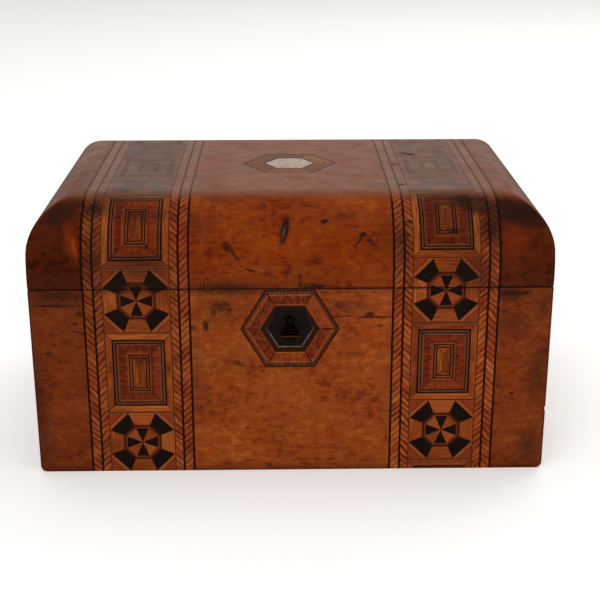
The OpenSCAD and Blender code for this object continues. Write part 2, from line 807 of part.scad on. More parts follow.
// The plate under the lid, with the two loops that drop into the lock
module lock_link_plate() color("#b9975b")
    difference() {
        union() {
            block([lock_x - link_half, lock_face_y - lock_lip, lid_z],
                  [lock_x + link_half, lock_face_y, lid_z + link_t]);
            for (side = [-1, 1])
                block([lock_x + side * loop_spacing / 2 - loop_t / 2, bolt_y - loop_w / 2, loop_bottom_z],
                      [lock_x + side * loop_spacing / 2 + loop_t / 2, bolt_y + loop_w / 2, lid_z + link_t / 2]);
        }
        block([lock_x - link_half, bolt_y - loop_eye_w / 2, loop_bottom_z + loop_strap],
              [lock_x + link_half, bolt_y + loop_eye_w / 2, loop_bottom_z + loop_strap + loop_eye_h]);
        at_link_screws() screw_hole(link_screw_l);
    }

// ---- The hinges ----

// The knuckles of one leaf: the base has the first, third and fifth, the lid the others
module knuckles(side, first, grow) {
    for (k = [first : 2 : knuckles - 1])
        along_x(side * hinge_x - hinge_l / 2 + k * knuckle_l + knuckle_gap / 2 - grow / 2,
                side * hinge_x - hinge_l / 2 + (k + 1) * knuckle_l - knuckle_gap / 2 + grow / 2)
            translate([hinge_y, hinge_z]) circle(knuckle_r + grow);
}

// A hinge leaf lying between z0 and z1
module hinge_leaf(side, first, z0, z1, turn) {
    difference() {
        union() {
            difference() {
                block([side * hinge_x - hinge_l / 2, hinge_y - leaf_w, z0],
                      [side * hinge_x + hinge_l / 2, hinge_y, z1]);
                knuckles(side, 1 - first, knuckle_play);
            }
            knuckles(side, first, 0);
        }
        along_x(side * hinge_x - hinge_l, side * hinge_x + hinge_l)
            translate([hinge_y, hinge_z]) circle(hinge_pin_r + pin_clearance);
        at_hinge_screws(side, turn == 0 ? z1 : z0, turn) screw_hole(hinge_screw_l);
    }
}

module left_hinge_base_leaf() color("#b9975b") hinge_leaf(-1, 0, base_h - leaf_t, base_h, 0);
module right_hinge_base_leaf() color("#b9975b") hinge_leaf(1, 0, base_h - leaf_t, base_h, 0);
module left_hinge_lid_leaf() color("#b9975b") hinge_leaf(-1, 1, lid_z, lid_z + leaf_t, 180);
module right_hinge_lid_leaf() color("#b9975b") hinge_leaf(1, 1, lid_z, lid_z + leaf_t, 180);

module hinge_pin(side) color("#a58a55")
    along_x(side * hinge_x - hinge_l / 2, side * hinge_x + hinge_l / 2)
        translate([hinge_y, hinge_z]) circle(hinge_pin_r);

module left_hinge_pin() hinge_pin(-1);
module right_hinge_pin() hinge_pin(1);

// ---- The lid ----

// The shell of boards under the lid's veneer
module lid_carcase() {
    difference() {
        lid_form(veneer_t, lid_z);
        lid_form(veneer_t + board_t, lid_z - 1);
    }
}

module lid_front_rail() color("#8a5a34")
    difference() {
        intersection() {
            lid_carcase();
            block([-half_w, -half_d, 0], [half_w, -half_d + long_edge_r, box_h]);
        }
        block([lock_x - link_half - mortise_clearance, lock_face_y - lock_lip, lid_z - 1],
              [lock_x + link_half + mortise_clearance, lock_face_y + 1, lid_z + link_t]);
        at_link_screws() screw_hole(link_screw_l);
    }

module lid_back_rail() color("#8a5a34")
    difference() {
        intersection() {
            lid_carcase();
            block([-half_w, half_d - long_edge_r, 0], [half_w, half_d, box_h]);
        }
        lid_bevel();
        for (side = [-1, 1]) {
            hinge_rebate(side, lid_z - 1, lid_z + leaf_t);
            at_hinge_screws(side, lid_z, 180) screw_hole(hinge_screw_l);
        }
    }

module lid_end(side) color("#8a5a34")
    intersection() {
        lid_carcase();
        block([side > 0 ? half_w - short_edge_r : -half_w, -half_d + long_edge_r, 0],
              [side > 0 ? half_w : -half_w + short_edge_r, half_d - long_edge_r, box_h]);
    }

module lid_left_end() lid_end(-1);
module lid_right_end() lid_end(1);

module lid_top_board() color("#8a5a34")
    block([-half_w + short_edge_r, -half_d + long_edge_r, box_h - veneer_t - board_t],
          [half_w - short_edge_r, half_d - long_edge_r, box_h - veneer_t]);

module lid_centre_veneer() color("#9c5220")
    difference() {
        strip(-band_x + band_half, band_x - band_half, lid_z, path_end, lid_zone);
        at_plaque() linear_extrude(3 * veneer_t, center = true)
            polygon(hexagon(plaque_w(frame_h + 2 * plaque_line), frame_h + 2 * plaque_line));
    }

module lid_end_veneer(side) color("#7d3a1a")
    difference() {
        intersection() {
            difference() {
                lid_form(0, lid_z);
                lid_form(veneer_t, lid_z - 1);
            }
            block([side > 0 ? band_x + band_half : -half_w, -half_d, 0],
                  [side > 0 ? half_w : -band_x - band_half, half_d, box_h]);
        }
        lid_bevel();
    }

module lid_left_veneer() lid_end_veneer(-1);
module lid_right_veneer() lid_end_veneer(1);

module lid_lining() color("#5b2333")
    difference() {
        lid_form(veneer_t + board_t, lid_z + 2);
        lid_form(veneer_t + board_t + lining_t, lid_z + 1);
    }

// ---- The plaque on the lid ----

function plaque_w(h) = hex_w(pearl_w, pearl_d, h);

module at_plaque() {
    translate([0, 0, box_h - veneer_t / 2]) children();
}

module plaque_pearl() color("#d8d2c4")
    at_plaque() linear_extrude(veneer_t, center = true) polygon(hexagon(pearl_w, pearl_d));

module plaque_lines() color("#1d1310")
    at_plaque() {
        hex_ring(pearl_w, pearl_d, pearl_d + 2 * plaque_line, pearl_d, veneer_t);
        hex_ring(pearl_w, pearl_d, frame_h + 2 * plaque_line, frame_h, veneer_t);
    }

module plaque_frame() color("#6e3a20")
    at_plaque() mitred_frame(pearl_w, pearl_d, frame_h, pearl_d + 2 * plaque_line, veneer_t);

base_front_board();
base_back_board();
base_left_board();
base_right_board();
base_bottom_board();
base_front_veneer();
base_back_veneer();
base_left_veneer();
base_right_veneer();
base_band_lines();
base_band_blades();
base_band_satinwood();
base_band_redwood();
base_band_feather();
base_lining();
escutcheon_outline();
escutcheon_dentil();
escutcheon_frame();
escutcheon_plate();
lock_plate();
lock_case();
lock_drill_pin();
lock_spring();
lock_screws();
lock_bolt();
left_hinge_base_leaf();
right_hinge_base_leaf();
left_hinge_pin();
right_hinge_pin();
hinge_base_screws();
lid_front_rail();
lid_back_rail();
lid_left_end();
lid_right_end();
lid_top_board();
lid_centre_veneer();
lid_left_veneer();
lid_right_veneer();
lid_band_lines();
lid_band_blades();
lid_band_satinwood();
lid_band_redwood();
lid_band_feather();
lid_lining();
plaque_pearl();
plaque_frame();
plaque_lines();
lock_link_plate();
link_screws();
left_hinge_lid_leaf();
right_hinge_lid_leaf();
hinge_lid_screws();
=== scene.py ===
"""Dresses the inlaid work box: veneers, parquetry, escutcheon, plaque, lock, hinges, studio."""

import json
import math
from types import SimpleNamespace

import bpy
from bpy.props import FloatProperty, FloatVectorProperty, PointerProperty
from mathutils import Matrix, Vector

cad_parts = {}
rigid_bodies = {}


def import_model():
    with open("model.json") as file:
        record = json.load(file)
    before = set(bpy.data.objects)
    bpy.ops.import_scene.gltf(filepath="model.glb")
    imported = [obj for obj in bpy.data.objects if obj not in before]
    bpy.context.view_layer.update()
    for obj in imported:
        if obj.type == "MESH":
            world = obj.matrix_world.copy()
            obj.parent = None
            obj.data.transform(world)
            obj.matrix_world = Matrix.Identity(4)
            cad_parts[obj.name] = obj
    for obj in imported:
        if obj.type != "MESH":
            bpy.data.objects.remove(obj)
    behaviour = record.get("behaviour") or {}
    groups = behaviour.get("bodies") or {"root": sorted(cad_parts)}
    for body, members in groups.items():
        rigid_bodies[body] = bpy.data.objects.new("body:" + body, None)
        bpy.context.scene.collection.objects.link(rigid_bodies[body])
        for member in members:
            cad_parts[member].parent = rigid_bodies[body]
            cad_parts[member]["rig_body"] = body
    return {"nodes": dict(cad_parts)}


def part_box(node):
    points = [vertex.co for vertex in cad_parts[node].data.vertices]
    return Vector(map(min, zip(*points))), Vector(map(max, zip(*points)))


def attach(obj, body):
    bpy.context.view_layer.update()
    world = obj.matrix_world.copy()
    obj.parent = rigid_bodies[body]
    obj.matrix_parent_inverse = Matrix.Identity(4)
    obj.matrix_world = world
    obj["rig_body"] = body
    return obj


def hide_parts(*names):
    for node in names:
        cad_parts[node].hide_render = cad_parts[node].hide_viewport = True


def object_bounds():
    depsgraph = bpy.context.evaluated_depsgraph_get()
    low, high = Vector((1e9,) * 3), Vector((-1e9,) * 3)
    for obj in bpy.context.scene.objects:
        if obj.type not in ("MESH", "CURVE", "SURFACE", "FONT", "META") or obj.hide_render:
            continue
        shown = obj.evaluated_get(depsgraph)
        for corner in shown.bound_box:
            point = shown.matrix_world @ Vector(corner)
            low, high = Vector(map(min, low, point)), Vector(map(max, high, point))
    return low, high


bl_info = {
    "name": "Inlaid work box",
    "version": (1, 0, 0),
    "blender": (4, 5, 0),
    "location": "3D View > Sidebar > Work box",
    "description": "Dresses a parquetry work box that is loaded as a fixed frame",
    "category": "Object",
}

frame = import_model()
cad_box = [list(corner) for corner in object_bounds()]
nodes = frame["nodes"]
MM = 0.001

TOP_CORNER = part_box("lid_top_board")[1]

# The skin's section, in millimetres: the box's width, depth and height, half the flat depth of
# the top, the radius of the long edges and the height where they begin to round over, the radius
# of the end edges, and the way from the foot of the front over the top to the foot of the back.
BOX_W = (cad_box[1][0] - cad_box[0][0]) * 1000
BOX_D = (cad_box[1][1] - cad_box[0][1]) * 1000
BOX_H = cad_box[1][2] * 1000
TOP_HALF = TOP_CORNER.y * 1000
EDGE_R = BOX_D / 2 - TOP_HALF
EDGE_Z = BOX_H - EDGE_R
END_R = BOX_W / 2 - TOP_CORNER.x * 1000
SKIN_LENGTH = 2 * EDGE_Z + math.pi * EDGE_R + 2 * TOP_HALF

# The open joint under the lid, as heights in millimetres: its lower edge and its middle.
JOINT_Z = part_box("base_front_board")[1].z * 1000
JOINT_MIDDLE = JOINT_Z + 0.25

# The parquetry's layout, in millimetres, as the frame has it: how far a band's middle is from
# the box's, the pitch of its tiles along the skin and the middle of its first star, how far the
# middle line of each border is from the band's middle, half a tile, and the line between tiles.
BAND_X = 82.6
PITCH = {"left": 83.0, "right": 81.8}
FIRST_STAR = {"left": 17.8, "right": 23.9}
MIDDLE_LINE = 22.7
TILE_HALF = 17.6
TILE_LINE = 1.2

# Inside a star tile: the outer and inner reach of the ring round its wheel, and the width of the
# bright strip that crosses each corner. DIAGONAL is the sine of 45 degrees.
WHEEL_R = 10.4
RING_INNER = 8.3
CORNER_STRIP = 1.95
DIAGONAL = 0.7071

# Inside a rectangular tile, inwards from its edge: the pitch of its nested frames, where the
# thin frames begin, where the outer ones end, and where the middle panel begins.
FRAME_PITCH = 3.4
THIN_FROM, OUTER_TO, PANEL_FROM = 4.0, 9.0, 13.6

# The escutcheon, in millimetres: the height of its frame's middle, and inwards from its outline,
# where the teeth begin, the frame's pale line lies and the plate's sunk flat begins.
FRAME_MIDDLE_Z = 84.4
TEETH_FROM, FRAME_LINE, PLATE_FLAT = 0.9, 8.7, 11.9

# The keyhole, in metres: its middle, the radius of its eye, and its skirt's height and width.
LOCK_X, KEYHOLE_Z, KEYHOLE_R = -0.0008, 0.0883, 0.0034
SKIRT_H, SKIRT_W = 0.0088, 0.0112

# The sunk plate, in metres: the width and fall of its rim, of its step and of a narrow border
# that keeps the step crisp, and the plate's thickness.
PLATE_STEPS = ((0.0022, 0.0001), (0.0004, 0.0003), (0.0003, 0.0))
PLATE_T = 0.0004

# The worn edge of the pearl, in metres.
PEARL_EDGE = 0.0002

# Where the front and the right end are, in metres.
FRONT_Y = -BOX_D / 2 * MM
RIGHT_X = BOX_W / 2 * MM

# Knocks, stains and darker patches, some of them partly painted shade. Each has the x and the place
# along the skin of its middle, half its size in these two directions, the degrees that it is
# turned, and its depth from 0 to 1.
CENTRE_GOLDEN = (
    (-20, 127, 28, 15, 0, 1), (-6, 56, 30, 24, 0, 0.6), (45, 47, 16, 18, 0, 0.9),
    (24, 10, 30, 14, 0, 0.5),
)
CENTRE_RUDDY = (
    (24, 122, 26, 13, -10, 1), (-50, 118, 12, 16, 0, 0.7), (44, 74, 16, 16, 0, 0.6),
    (-30, 88, 26, 12, 0, 0.5),
)
LID_KNOCKS = (
    (17.8, 144, 2.8, 1.8, 20, 0.9), (16.8, 148.3, 1.6, 0.9, 0, 0.6),
    (38.2, 136.3, 2.6, 1.8, 20, 0.9), (36, 132.7, 3.6, 0.8, 48, 0.8),
    (41.6, 133.2, 1.9, 1.5, -30, 0.75), (43.4, 136.8, 2, 0.6, 50, 0.65),
    (45.6, 134.4, 3, 0.7, 80, 0.65), (43.4, 131, 2.4, 1.1, -20, 0.7),
    (47, 137, 1.7, 0.6, 70, 0.55), (40.8, 130.4, 1.5, 0.6, 20, 0.5),
    (4.6, 112.6, 1.2, 4, 0, 0.55), (4.8, 109.6, 2, 1.9, 0, 0.75),
    (12, 108.4, 10, 1.1, 3, 0.9), (10.8, 109.8, 5, 0.6, -4, 0.75),
    (-2.4, 116.4, 1.6, 1.1, 0, 0.45), (-14.1, 115.3, 2.4, 1.1, 0, 0.35),
    (-33.9, 130.3, 2.6, 3.6, 25, 0.75), (-34.6, 131.8, 1.4, 1.4, 0, 0.6),
    (-30.6, 126.6, 4.2, 1.2, -50, 0.75), (-28.2, 123.6, 2, 1.2, 0, 0.6),
    (-21.6, 117.5, 3.6, 0.7, -12, 0.85), (-41.3, 154.5, 1.5, 1.1, 0, 0.65),
    (-37.4, 148.1, 1.4, 1.1, 0, 0.6), (-14.6, 135.6, 0.9, 1, 0, 0.5),
    (-8.2, 136.6, 4.6, 0.4, -24, 0.5), (-40.8, 181.8, 2.4, 2.2, 0, 0.5),
)
BASE_KNOCKS = (
    (-38.4, 97.4, 5, 3.4, -20, 0.75), (-41.8, 95, 2.6, 3.4, 0, 0.7),
    (-35, 98.8, 3.4, 1.8, -30, 0.7), (-33.2, 95.4, 2.6, 1.6, 0, 0.6),
    (-46, 86.2, 1.8, 3.8, 10, 0.85), (-53, 85.6, 2.4, 2, 0, 0.65),
    (44, 90.8, 13, 0.8, 0, 0.8), (29, 44, 3, 1, 0, 0.3), (-28.6, 64.4, 5.5, 2, -20, 0.55),
    (-34.2, 66.3, 2.4, 1.2, 0, 0.45), (26, 91.4, 9, 0.6, 0, 0.65),
    (42.1, 92.4, 3.2, 1.8, 10, 0.8), (47.9, 86, 1.9, 1.2, 0, 0.65),
    (-24.5, 26.1, 1.5, 1, 0, 0.65), (-27.6, 18.6, 1.6, 1, 0, 0.4),
    (-12.6, 3.4, 2.4, 1.1, 0, 0.65), (-36.1, 4, 2.8, 1.3, 0, 0.65),
    (-28.8, 4.2, 1.8, 0.9, 0, 0.4), (25.1, 45.1, 1.3, 0.9, 0, 0.5),
    (-47.8, 105.6, 7, 0.8, 0, 0.65), (119.9, 103.9, 11, 1.6, 2, 0.9),
    (117.3, 101, 7.6, 0.7, 0, 0.75), (120.8, 45.7, 1.5, 1, 0, 0.85),
    (132.4, 18.6, 1.6, 1.6, 0, 0.55), (119.1, 85.4, 3, 2.4, 0, 0.35),
    (126.3, 90.6, 2.4, 2.2, 0, 0.4), (-125.5, 98.3, 15.5, 0.8, 0, 0.8),
    (-115.8, 88, 1.7, 1.1, 0, 0.75), (-114.2, 83.2, 4.6, 0.8, -20, 0.65),
    (-130.6, 70.8, 2.6, 1.4, 0, 0.4), (-136.9, 19.8, 1.5, 1.6, 0, 0.65),
)
# Darker patches on the front of the base and the lid.
CENTRE_DARK_PATCHES = (
    (134, 57, 9, 24, 0, 0.6), (132, 13, 10, 17, 0, 0.62), (120, 87, 13, 12, 0, 0.46),
    (116, 104.2, 17, 6, 0, 0.85), (-137.5, 30, 7, 60, 0, 0.5), (-124, 104, 24, 8, 0, 0.8),
    (-51, 143, 15, 9, 0, 0.42), (27.5, 147.5, 12, 4.5, 4, 0.45), (-34, 107.5, 40, 6, 0, 0.9),
    (-39, 161, 12, 6, 0, 0.35), (-42, 96, 24, 14, 0, 0.35), (50, 133, 12, 18, 0, 0.3),
    (-36, 66, 18, 9, 0, 0.3), (24, 97, 32, 6, -2, 0.38), (-52, 60, 9, 44, 0, 0.35),
    (54, 76, 6, 40, 0, 0.2), (135, 96, 8, 14, 0, 0.55), (8, 109, 14, 5, 0, 0.45),
    (-38, 3, 12, 5, 0, 0.35),
)
END_KNOCKS = (
    (122.4, 123.6, 2.2, 1.3, 10, 0.75), (123.8, 114.9, 1.4, 1, 0, 0.7),
    (136.4, 118.7, 1.3, 1.6, 0, 0.6), (-123.7, 146.8, 2.2, 5, 20, 0.7),
    (-119, 170.7, 4.5, 6, 0, 0.35), (119, 150, 24, 9, -14, 0.92), (127, 143.5, 11, 5, -6, 0.65),
    (-123, 149.5, 11, 8, 40, 0.75), (117.8, 252, 8, 2.6, -54, 0.9),
)
END_RUBBED = (
    (-115.6, 132, 5, 14, 14, 0.5), (-114.6, 131, 1.9, 9, 12, 1), (118.5, 131, 9, 12, 10, 0.32),
)
INLAY_KNOCKS = (
    (-76.2, 130, 1.8, 1.6, 0, 0.8), (83.5, 138.9, 3, 2.2, 0, 0.7), (62.4, 143.7, 2.6, 1.5, 0, 0.85),
    (61.6, 135.7, 2.8, 2.2, 30, 0.8), (72.6, 257.2, 7.4, 2.8, -40, 0.95),
    (62.1, 229.8, 3, 3.2, 0, 0.85), (61.9, 182, 3, 2.6, 0, 0.85), (101, 155, 20, 10, -24, 0.9),
    (84, 150, 20, 20, 0, 0.42), (86.5, 138, 4.5, 2.4, 0, 0.8), (90, 163, 22, 6, 0, 0.5),
    (-98, 160, 14, 14, 0, 0.45), (-82, 103, 17, 2, 0, 0.3),
)
# Dark patches on the bands, partly dirt and partly painted shade on the lid.
INLAY_GRIME_AND_SHADE = (
    (-105, 154, 14, 14, 0, 1), (-106, 126, 14, 30, 0, 0.7), (-82, 120, 28, 13, 0, 0.7),
    (-82, 149, 30, 8, 0, 0.6), (107, 140, 13, 20, 0, 0.95), (98, 120, 20, 22, 0, 0.55),
    (58, 132, 10, 30, 0, 0.7), (84, 137, 22, 28, 0, 0.4), (-86, 108, 36, 6, 0, 0.8),
    (104, 110, 13, 9, 0, 0.6), (-100, 96, 22, 14, 0, 0.35),
)

# How a patch without a clear edge fades out, as shares of its half size.
GLOW = {"full": -0.1, "gone": 1.2}
HAZE = {"full": -0.1, "gone": 1.25}


def tone(red, green, blue):
    """A colour given as it looks on a screen, 0 to 255, as Blender's linear colour."""
    return tuple(
        c / 255 / 12.92 if c / 255 <= 0.04045 else ((c / 255 + 0.055) / 1.055) ** 2.4
        for c in (red, green, blue)
    )


# The dark tone of dirt, also used for the painted shade at the joint and along the foot of the
# front.
DIRT_AND_SHADE_TONE = tone(38, 20, 12)

# The dark, middle and light tones of the woods that the user can change.
DEPTHS = ("dark", "middle", "light")
WOODS = {
    "centre": ("Centre veneer", (108, 40, 8), (145, 65, 16), (171, 87, 28)),
    "end": ("End veneers", (84, 28, 8), (120, 46, 13), (146, 62, 18)),
    "satin": ("Satinwood", (114, 46, 12), (147, 67, 19), (180, 97, 38)),
    "red": ("Redwood", (78, 24, 7), (110, 38, 11), (134, 54, 18)),
    "feather": ("Feather strips", (112, 40, 9), (152, 66, 18), (174, 95, 39)),
}

# How strongly every finish mirrors, and how much more the polished top does.
SHEEN, TOP_SHEEN = 0.08, 0.16


# ---- Sums in materials ----


class Value:
    """A number, vector or colour in a material, on which plain sums and comparisons work."""

    def __init__(self, tree, socket):
        self.tree, self.socket = tree, socket

    def __add__(self, other):
        return compute("ADD", self, other)

    def __radd__(self, other):
        return compute("ADD", other, self)

    def __sub__(self, other):
        return compute("SUBTRACT", self, other)

    def __rsub__(self, other):
        return compute("SUBTRACT", other, self)

    def __mul__(self, other):
        return compute("MULTIPLY", self, other)

    def __rmul__(self, other):
        return compute("MULTIPLY", other, self)

    def __truediv__(self, other):
        return compute("DIVIDE", self, other)

    def __abs__(self):
        return compute("ABSOLUTE", self)

    def __gt__(self, other):
        return compute("GREATER_THAN", self, other)

    def __lt__(self, other):
        return compute("GREATER_THAN", other, self)

    def rise(self, low, high, to_low=0.0, to_high=1.0):
        """Goes smoothly from to_low, where this value is at low, to to_high at high."""
        inputs = enumerate((self, low, high, to_low, to_high))
        return make_node("MapRange", inputs, interpolation_type="SMOOTHSTEP")

    def line(self, half_width, soft=0.12):
        """1 on a line of that half width, from which this value is the distance, 0 beyond."""
        return self.rise(half_width - soft, half_width + soft, 1.0, 0.0)


def put(socket, value):
    """Links a value to a node's input, or sets the input to a plain number or colour."""
    if isinstance(value, Value):
        value.tree.links.new(value.socket, socket)
    else:
        socket.default_value = (*value, 1.0) if socket.type == "RGBA" else value


def make_node(kind, inputs, out=0, **settings):
    """A new node beside its inputs, which come by number or name: one of its outputs."""
    inputs = list(inputs)
    tree = next(value.tree for key, value in inputs if isinstance(value, Value))
    node = tree.nodes.new(f"ShaderNode{kind}")
    for name, value in settings.items():
        setattr(node, name, value)
    for key, value in inputs:
        put(node.inputs[key], value)
    return Value(tree, node.outputs[out])


def new_material(name):
    """A material, and the inputs of its shader."""
    material = bpy.data.materials.new(name)
    material.use_nodes = True
    return material, material.node_tree.nodes["Principled BSDF"].inputs


def compute(operation, *values, clamp=False):
    return make_node("Math", enumerate(values), operation=operation, use_clamp=clamp)


def least(a, b):
    return compute("MINIMUM", a, b)


def most(a, b):
    return compute("MAXIMUM", a, b)


def floor(value):
    return compute("FLOOR", value)


def choose(share, a, b):
    """a where the share is 1 and b where it is 0."""
    return share * a + (1 - share) * b


def blend(share, a, b, way="MIX"):
    """Colour a with that share of colour b over it."""
    return make_node("Mix", ((0, share), (6, a), (7, b)), 2, data_type="RGBA", blend_type=way)


def wash(share, colour, by):
    """The colour seen through that share of a coloured glaze."""
    return blend(share, colour, by, "MULTIPLY")


def tint(colour, share):
    """The colour made lighter where share is over 1 and darker where it is under."""
    return make_node("VectorMath", ((0, colour), (3, share)), operation="SCALE")


def vector(x, y, z):
    return make_node("CombineXYZ", enumerate((x, y, z)))


def dot(a, b):
    return make_node("VectorMath", enumerate((a, b)), "Value", operation="DOT_PRODUCT")


def cloud(x, y, z=0.0, detail=2.0, roughness=0.5, distortion=0.0):
    """Soft noise with features about one unit across."""
    inputs = ((0, vector(x, y, z)), ("Scale", 1.0), ("Detail", detail),
              ("Roughness", roughness), ("Distortion", distortion))
    return make_node("TexNoise", inputs)


def chance(x, y, z):
    """One even random number for each place."""
    return make_node("TexWhiteNoise", [(0, vector(x, y, z))])


def blots(x, s, marks, ragged=1.6, full=0.5, gone=1.15):
    """How deep the marks are at each place.

    A mark is at its full depth inside that share of its half size, and gone outside the other
    one; its outline is ragged, by a noise with millimetre steps.
    """
    here = vector(x, s, 1.0)
    edge = (cloud(x / 1.3, s / 0.95, 0.0, 4.0, 0.66) - 0.5) * ragged
    deepest = 0.0
    for at_x, at_s, half_x, half_s, turn, depth in marks:
        c, d = math.cos(math.radians(turn)), math.sin(math.radians(turn))
        u = dot(here, (c / half_x, d / half_x, -(at_x * c + at_s * d) / half_x))
        v = dot(here, (-d / half_s, c / half_s, (at_x * d - at_s * c) / half_s))
        reach = compute("SQRT", compute("MULTIPLY_ADD", u, u, v * v)) + edge
        deepest = most(deepest, reach.rise(full, gone, depth, 0.0))
    return deepest


class Finish:
    """One procedural material, and x, y and z in the box's frame, in millimetres."""

    def __init__(self, name, metallic=0.0):
        self.material, self.inputs = new_material(name)
        tree = self.material.node_tree
        put(self.inputs["Metallic"], metallic)
        put(self.inputs["Specular IOR Level"], SHEEN)
        place = Value(tree, tree.nodes.new("ShaderNodeTexCoord").outputs["Object"])
        place = make_node("VectorMath", ((0, place), (3, 1000)), operation="SCALE")
        axes = make_node("SeparateXYZ", [(0, place)]).socket.node.outputs
        self.x, self.y, self.z = (Value(tree, axis) for axis in axes)

    def skin(self):
        """x, and the length along the skin: up the front, over the top and down the back."""
        out = abs(self.y)
        turn = compute("ARCTAN2", most(self.z - EDGE_Z, 0.0), most(out - TOP_HALF, 0.0))
        path = least(self.z, EDGE_Z) + turn * EDGE_R + (TOP_HALF - least(out, TOP_HALF))
        return self.x, path + (self.y > 0.0) * (SKIN_LENGTH - 2 * path)

    def coat(self, colour, relief, roughness):
        """Gives the material its colour, its fine relief in millimetres and its roughness."""
        bump = (("Distance", MM), ("Strength", 1.0), ("Height", relief))
        put(self.inputs["Base Color"], colour)
        put(self.inputs["Normal"], make_node("Bump", bump))
        put(self.inputs["Roughness"], roughness)
        return self.material


# ---- Wood ----


def shades(looks, wood):
    """The dark, middle and light tones of a wood."""
    return [getattr(looks, f"{wood}_{depth}") for depth in DEPTHS]


def three_tones(share, tones):
    """Dark at 0, middle at a half and light at 1."""
    dark, middle, light = tones
    low = blend(share.rise(0.22, 0.5), dark, middle)
    return blend(share.rise(0.5, 0.8), low, light)


def figured(a, b, tones, seed=0.0, fleck=tone(94, 34, 9)):
    """Burr veneer: clouds drawn out along a, mottle, and short dark flecks along a."""
    drift = cloud(a / 38, b / 28, seed)
    mottle = cloud(a / 5, b / 4, seed + 3, 4.0, 0.62, 0.5)
    grain = cloud(a / 12, b / 1.1, seed + 6, 3.0, 0.6)
    share = 0.5 + (drift - 0.5) * 0.8 + (mottle - 0.5) * 0.95 + (grain - 0.5) * 0.55
    colour = three_tones(share, tones)
    hue = cloud(a / 16, b / 14, seed + 30, 3.0, 0.62)
    colour = wash(hue.rise(0.48, 0.68), colour, (0.98, 0.84, 0.68))
    colour = wash(hue.rise(0.32, 0.5, 1.0, 0.0), colour, (1.0, 1.07, 1.12))
    dash = cloud(a / 1.7, b / 0.6, seed + 9, 2.0, 0.6)
    dashes = dash.rise(0.55, 0.7) * cloud(a / 11, b / 8, seed + 12).rise(0.32, 0.74)
    speck = cloud(a / 0.9, b / 0.7, seed + 20, 1.0).rise(0.66, 0.74)
    colour = blend(most(dashes * 0.4, speck * 0.65), colour, fleck)
    return colour, grain * 0.05 - dashes * 0.03 + mottle * 0.03


def gloss(finish, x, s, top):
    """Old polish, rubbed brighter and duller in patches; the top shines more than the rest."""
    put(finish.inputs["Specular IOR Level"], top * TOP_SHEEN + SHEEN)
    patches = cloud(x / 17, s / 13, 31.0, 3.0, 0.6)
    return patches.rise(0.35, 0.68, top * 0.04 + 0.27, 0.42)


def over_top(finish):
    """1 on the flat top, 0 below the shoulders of its rounded edges."""
    return finish.z.rise(BOX_H - 3.2, BOX_H - 0.1)


def faded_with_sheen(finish, colour, top):
    """The top has paled unevenly and lost its depth of colour; its greyer tone is also a painted
    sheen of light off the polish.
    """
    x, y = finish.x, finish.y
    patch = cloud(x / 7, y / 6, 41.0, 4.0, 0.68).rise(0.3, 0.7)
    speck = cloud(x / 1.6, y / 1.8, 43.0).rise(0.62, 0.74)
    old = blend(0.56, tint(colour, 0.9), tone(116, 67, 34))
    return blend(top, colour, tint(old, 0.84 + patch * 0.34 - speck * 0.3))


def joint_dirt_and_shade(s, x):
    """Dirt along the open line between the base and the lid, with painted shade along it."""
    uneven = cloud(x / 7, 4.0, 0.0, 3.0, 0.6)
    return (abs(s - JOINT_MIDDLE) - uneven * 1.6).rise(-0.6, 0.6, 0.65, 0.0)


def centre_finish(looks):
    """The figured veneer of the front, the top and the back."""
    finish = Finish("figured_centre_veneer")
    x, s = finish.skin()
    colour, relief = figured(x, s, shades(looks, "centre"))
    strips = abs(x).rise(90, 100) * (finish.y < 0.0)
    colour = wash(strips, colour, (0.7, 0.63, 0.65))
    colour = wash(strips * (x < 0.0), colour, (0.84, 0.84, 0.84))
    colour = wash(finish.z > JOINT_Z, colour, (0.77, 0.62, 0.38))
    golden = blots(x, s, CENTRE_GOLDEN, **GLOW)
    ruddy = blots(x, s, CENTRE_RUDDY, **GLOW)
    colour = wash(ruddy, tint(colour, 1 + golden * 0.14), (1.0, 0.86, 0.7))

    # Painted shade along the foot of the front, made uneven by a noise.
    foot = s.rise(0.5, 5.0, 1.0, 0.0) * (0.3 + cloud(x / 9, s / 3, 91.0, 3.0, 0.6) * 0.4)
    uneven = cloud(x / 0.8, s / 0.8, 19.0).rise(0.3, 0.6, 0.85, 1.1)
    knocks = blots(x, s, LID_KNOCKS + BASE_KNOCKS) * uneven
    marks = most(knocks, blots(x, s, CENTRE_DARK_PATCHES, **HAZE))
    # Dirt, knocks and darker patches, with painted shade at the joint and along the foot; the top
    # loses colour and gets a painted sheen.
    dirt_and_shade = most(most(joint_dirt_and_shade(s, x), foot), marks)
    top = over_top(finish)
    colour = blend(dirt_and_shade, faded_with_sheen(finish, colour, top), DIRT_AND_SHADE_TONE)

    # The long dent in the lid's front: a brown bruise, a dark slit and its pale core.
    bruise = blots(x, s, [(-3.6, 140, 3.8, 9.8, -10, 0.5)])
    slit = blots(x, s, [(-3.3, 139.4, 2.2, 9.4, -10, 0.9)], ragged=0.6)
    core = blots(x, s, [(-3.9, 137.5, 0.9, 4.6, -10, 0.6)], ragged=0.5)
    colour = blend(bruise, colour, tone(70, 30, 14))
    colour = blend(slit, colour, tone(30, 18, 14))
    colour = blend(core, colour, tone(84, 70, 62))
    relief = relief * (1 - top * 0.5) - slit * 0.5
    return finish.coat(colour, relief, gloss(finish, x, s, top) + dirt_and_shade * 0.12)


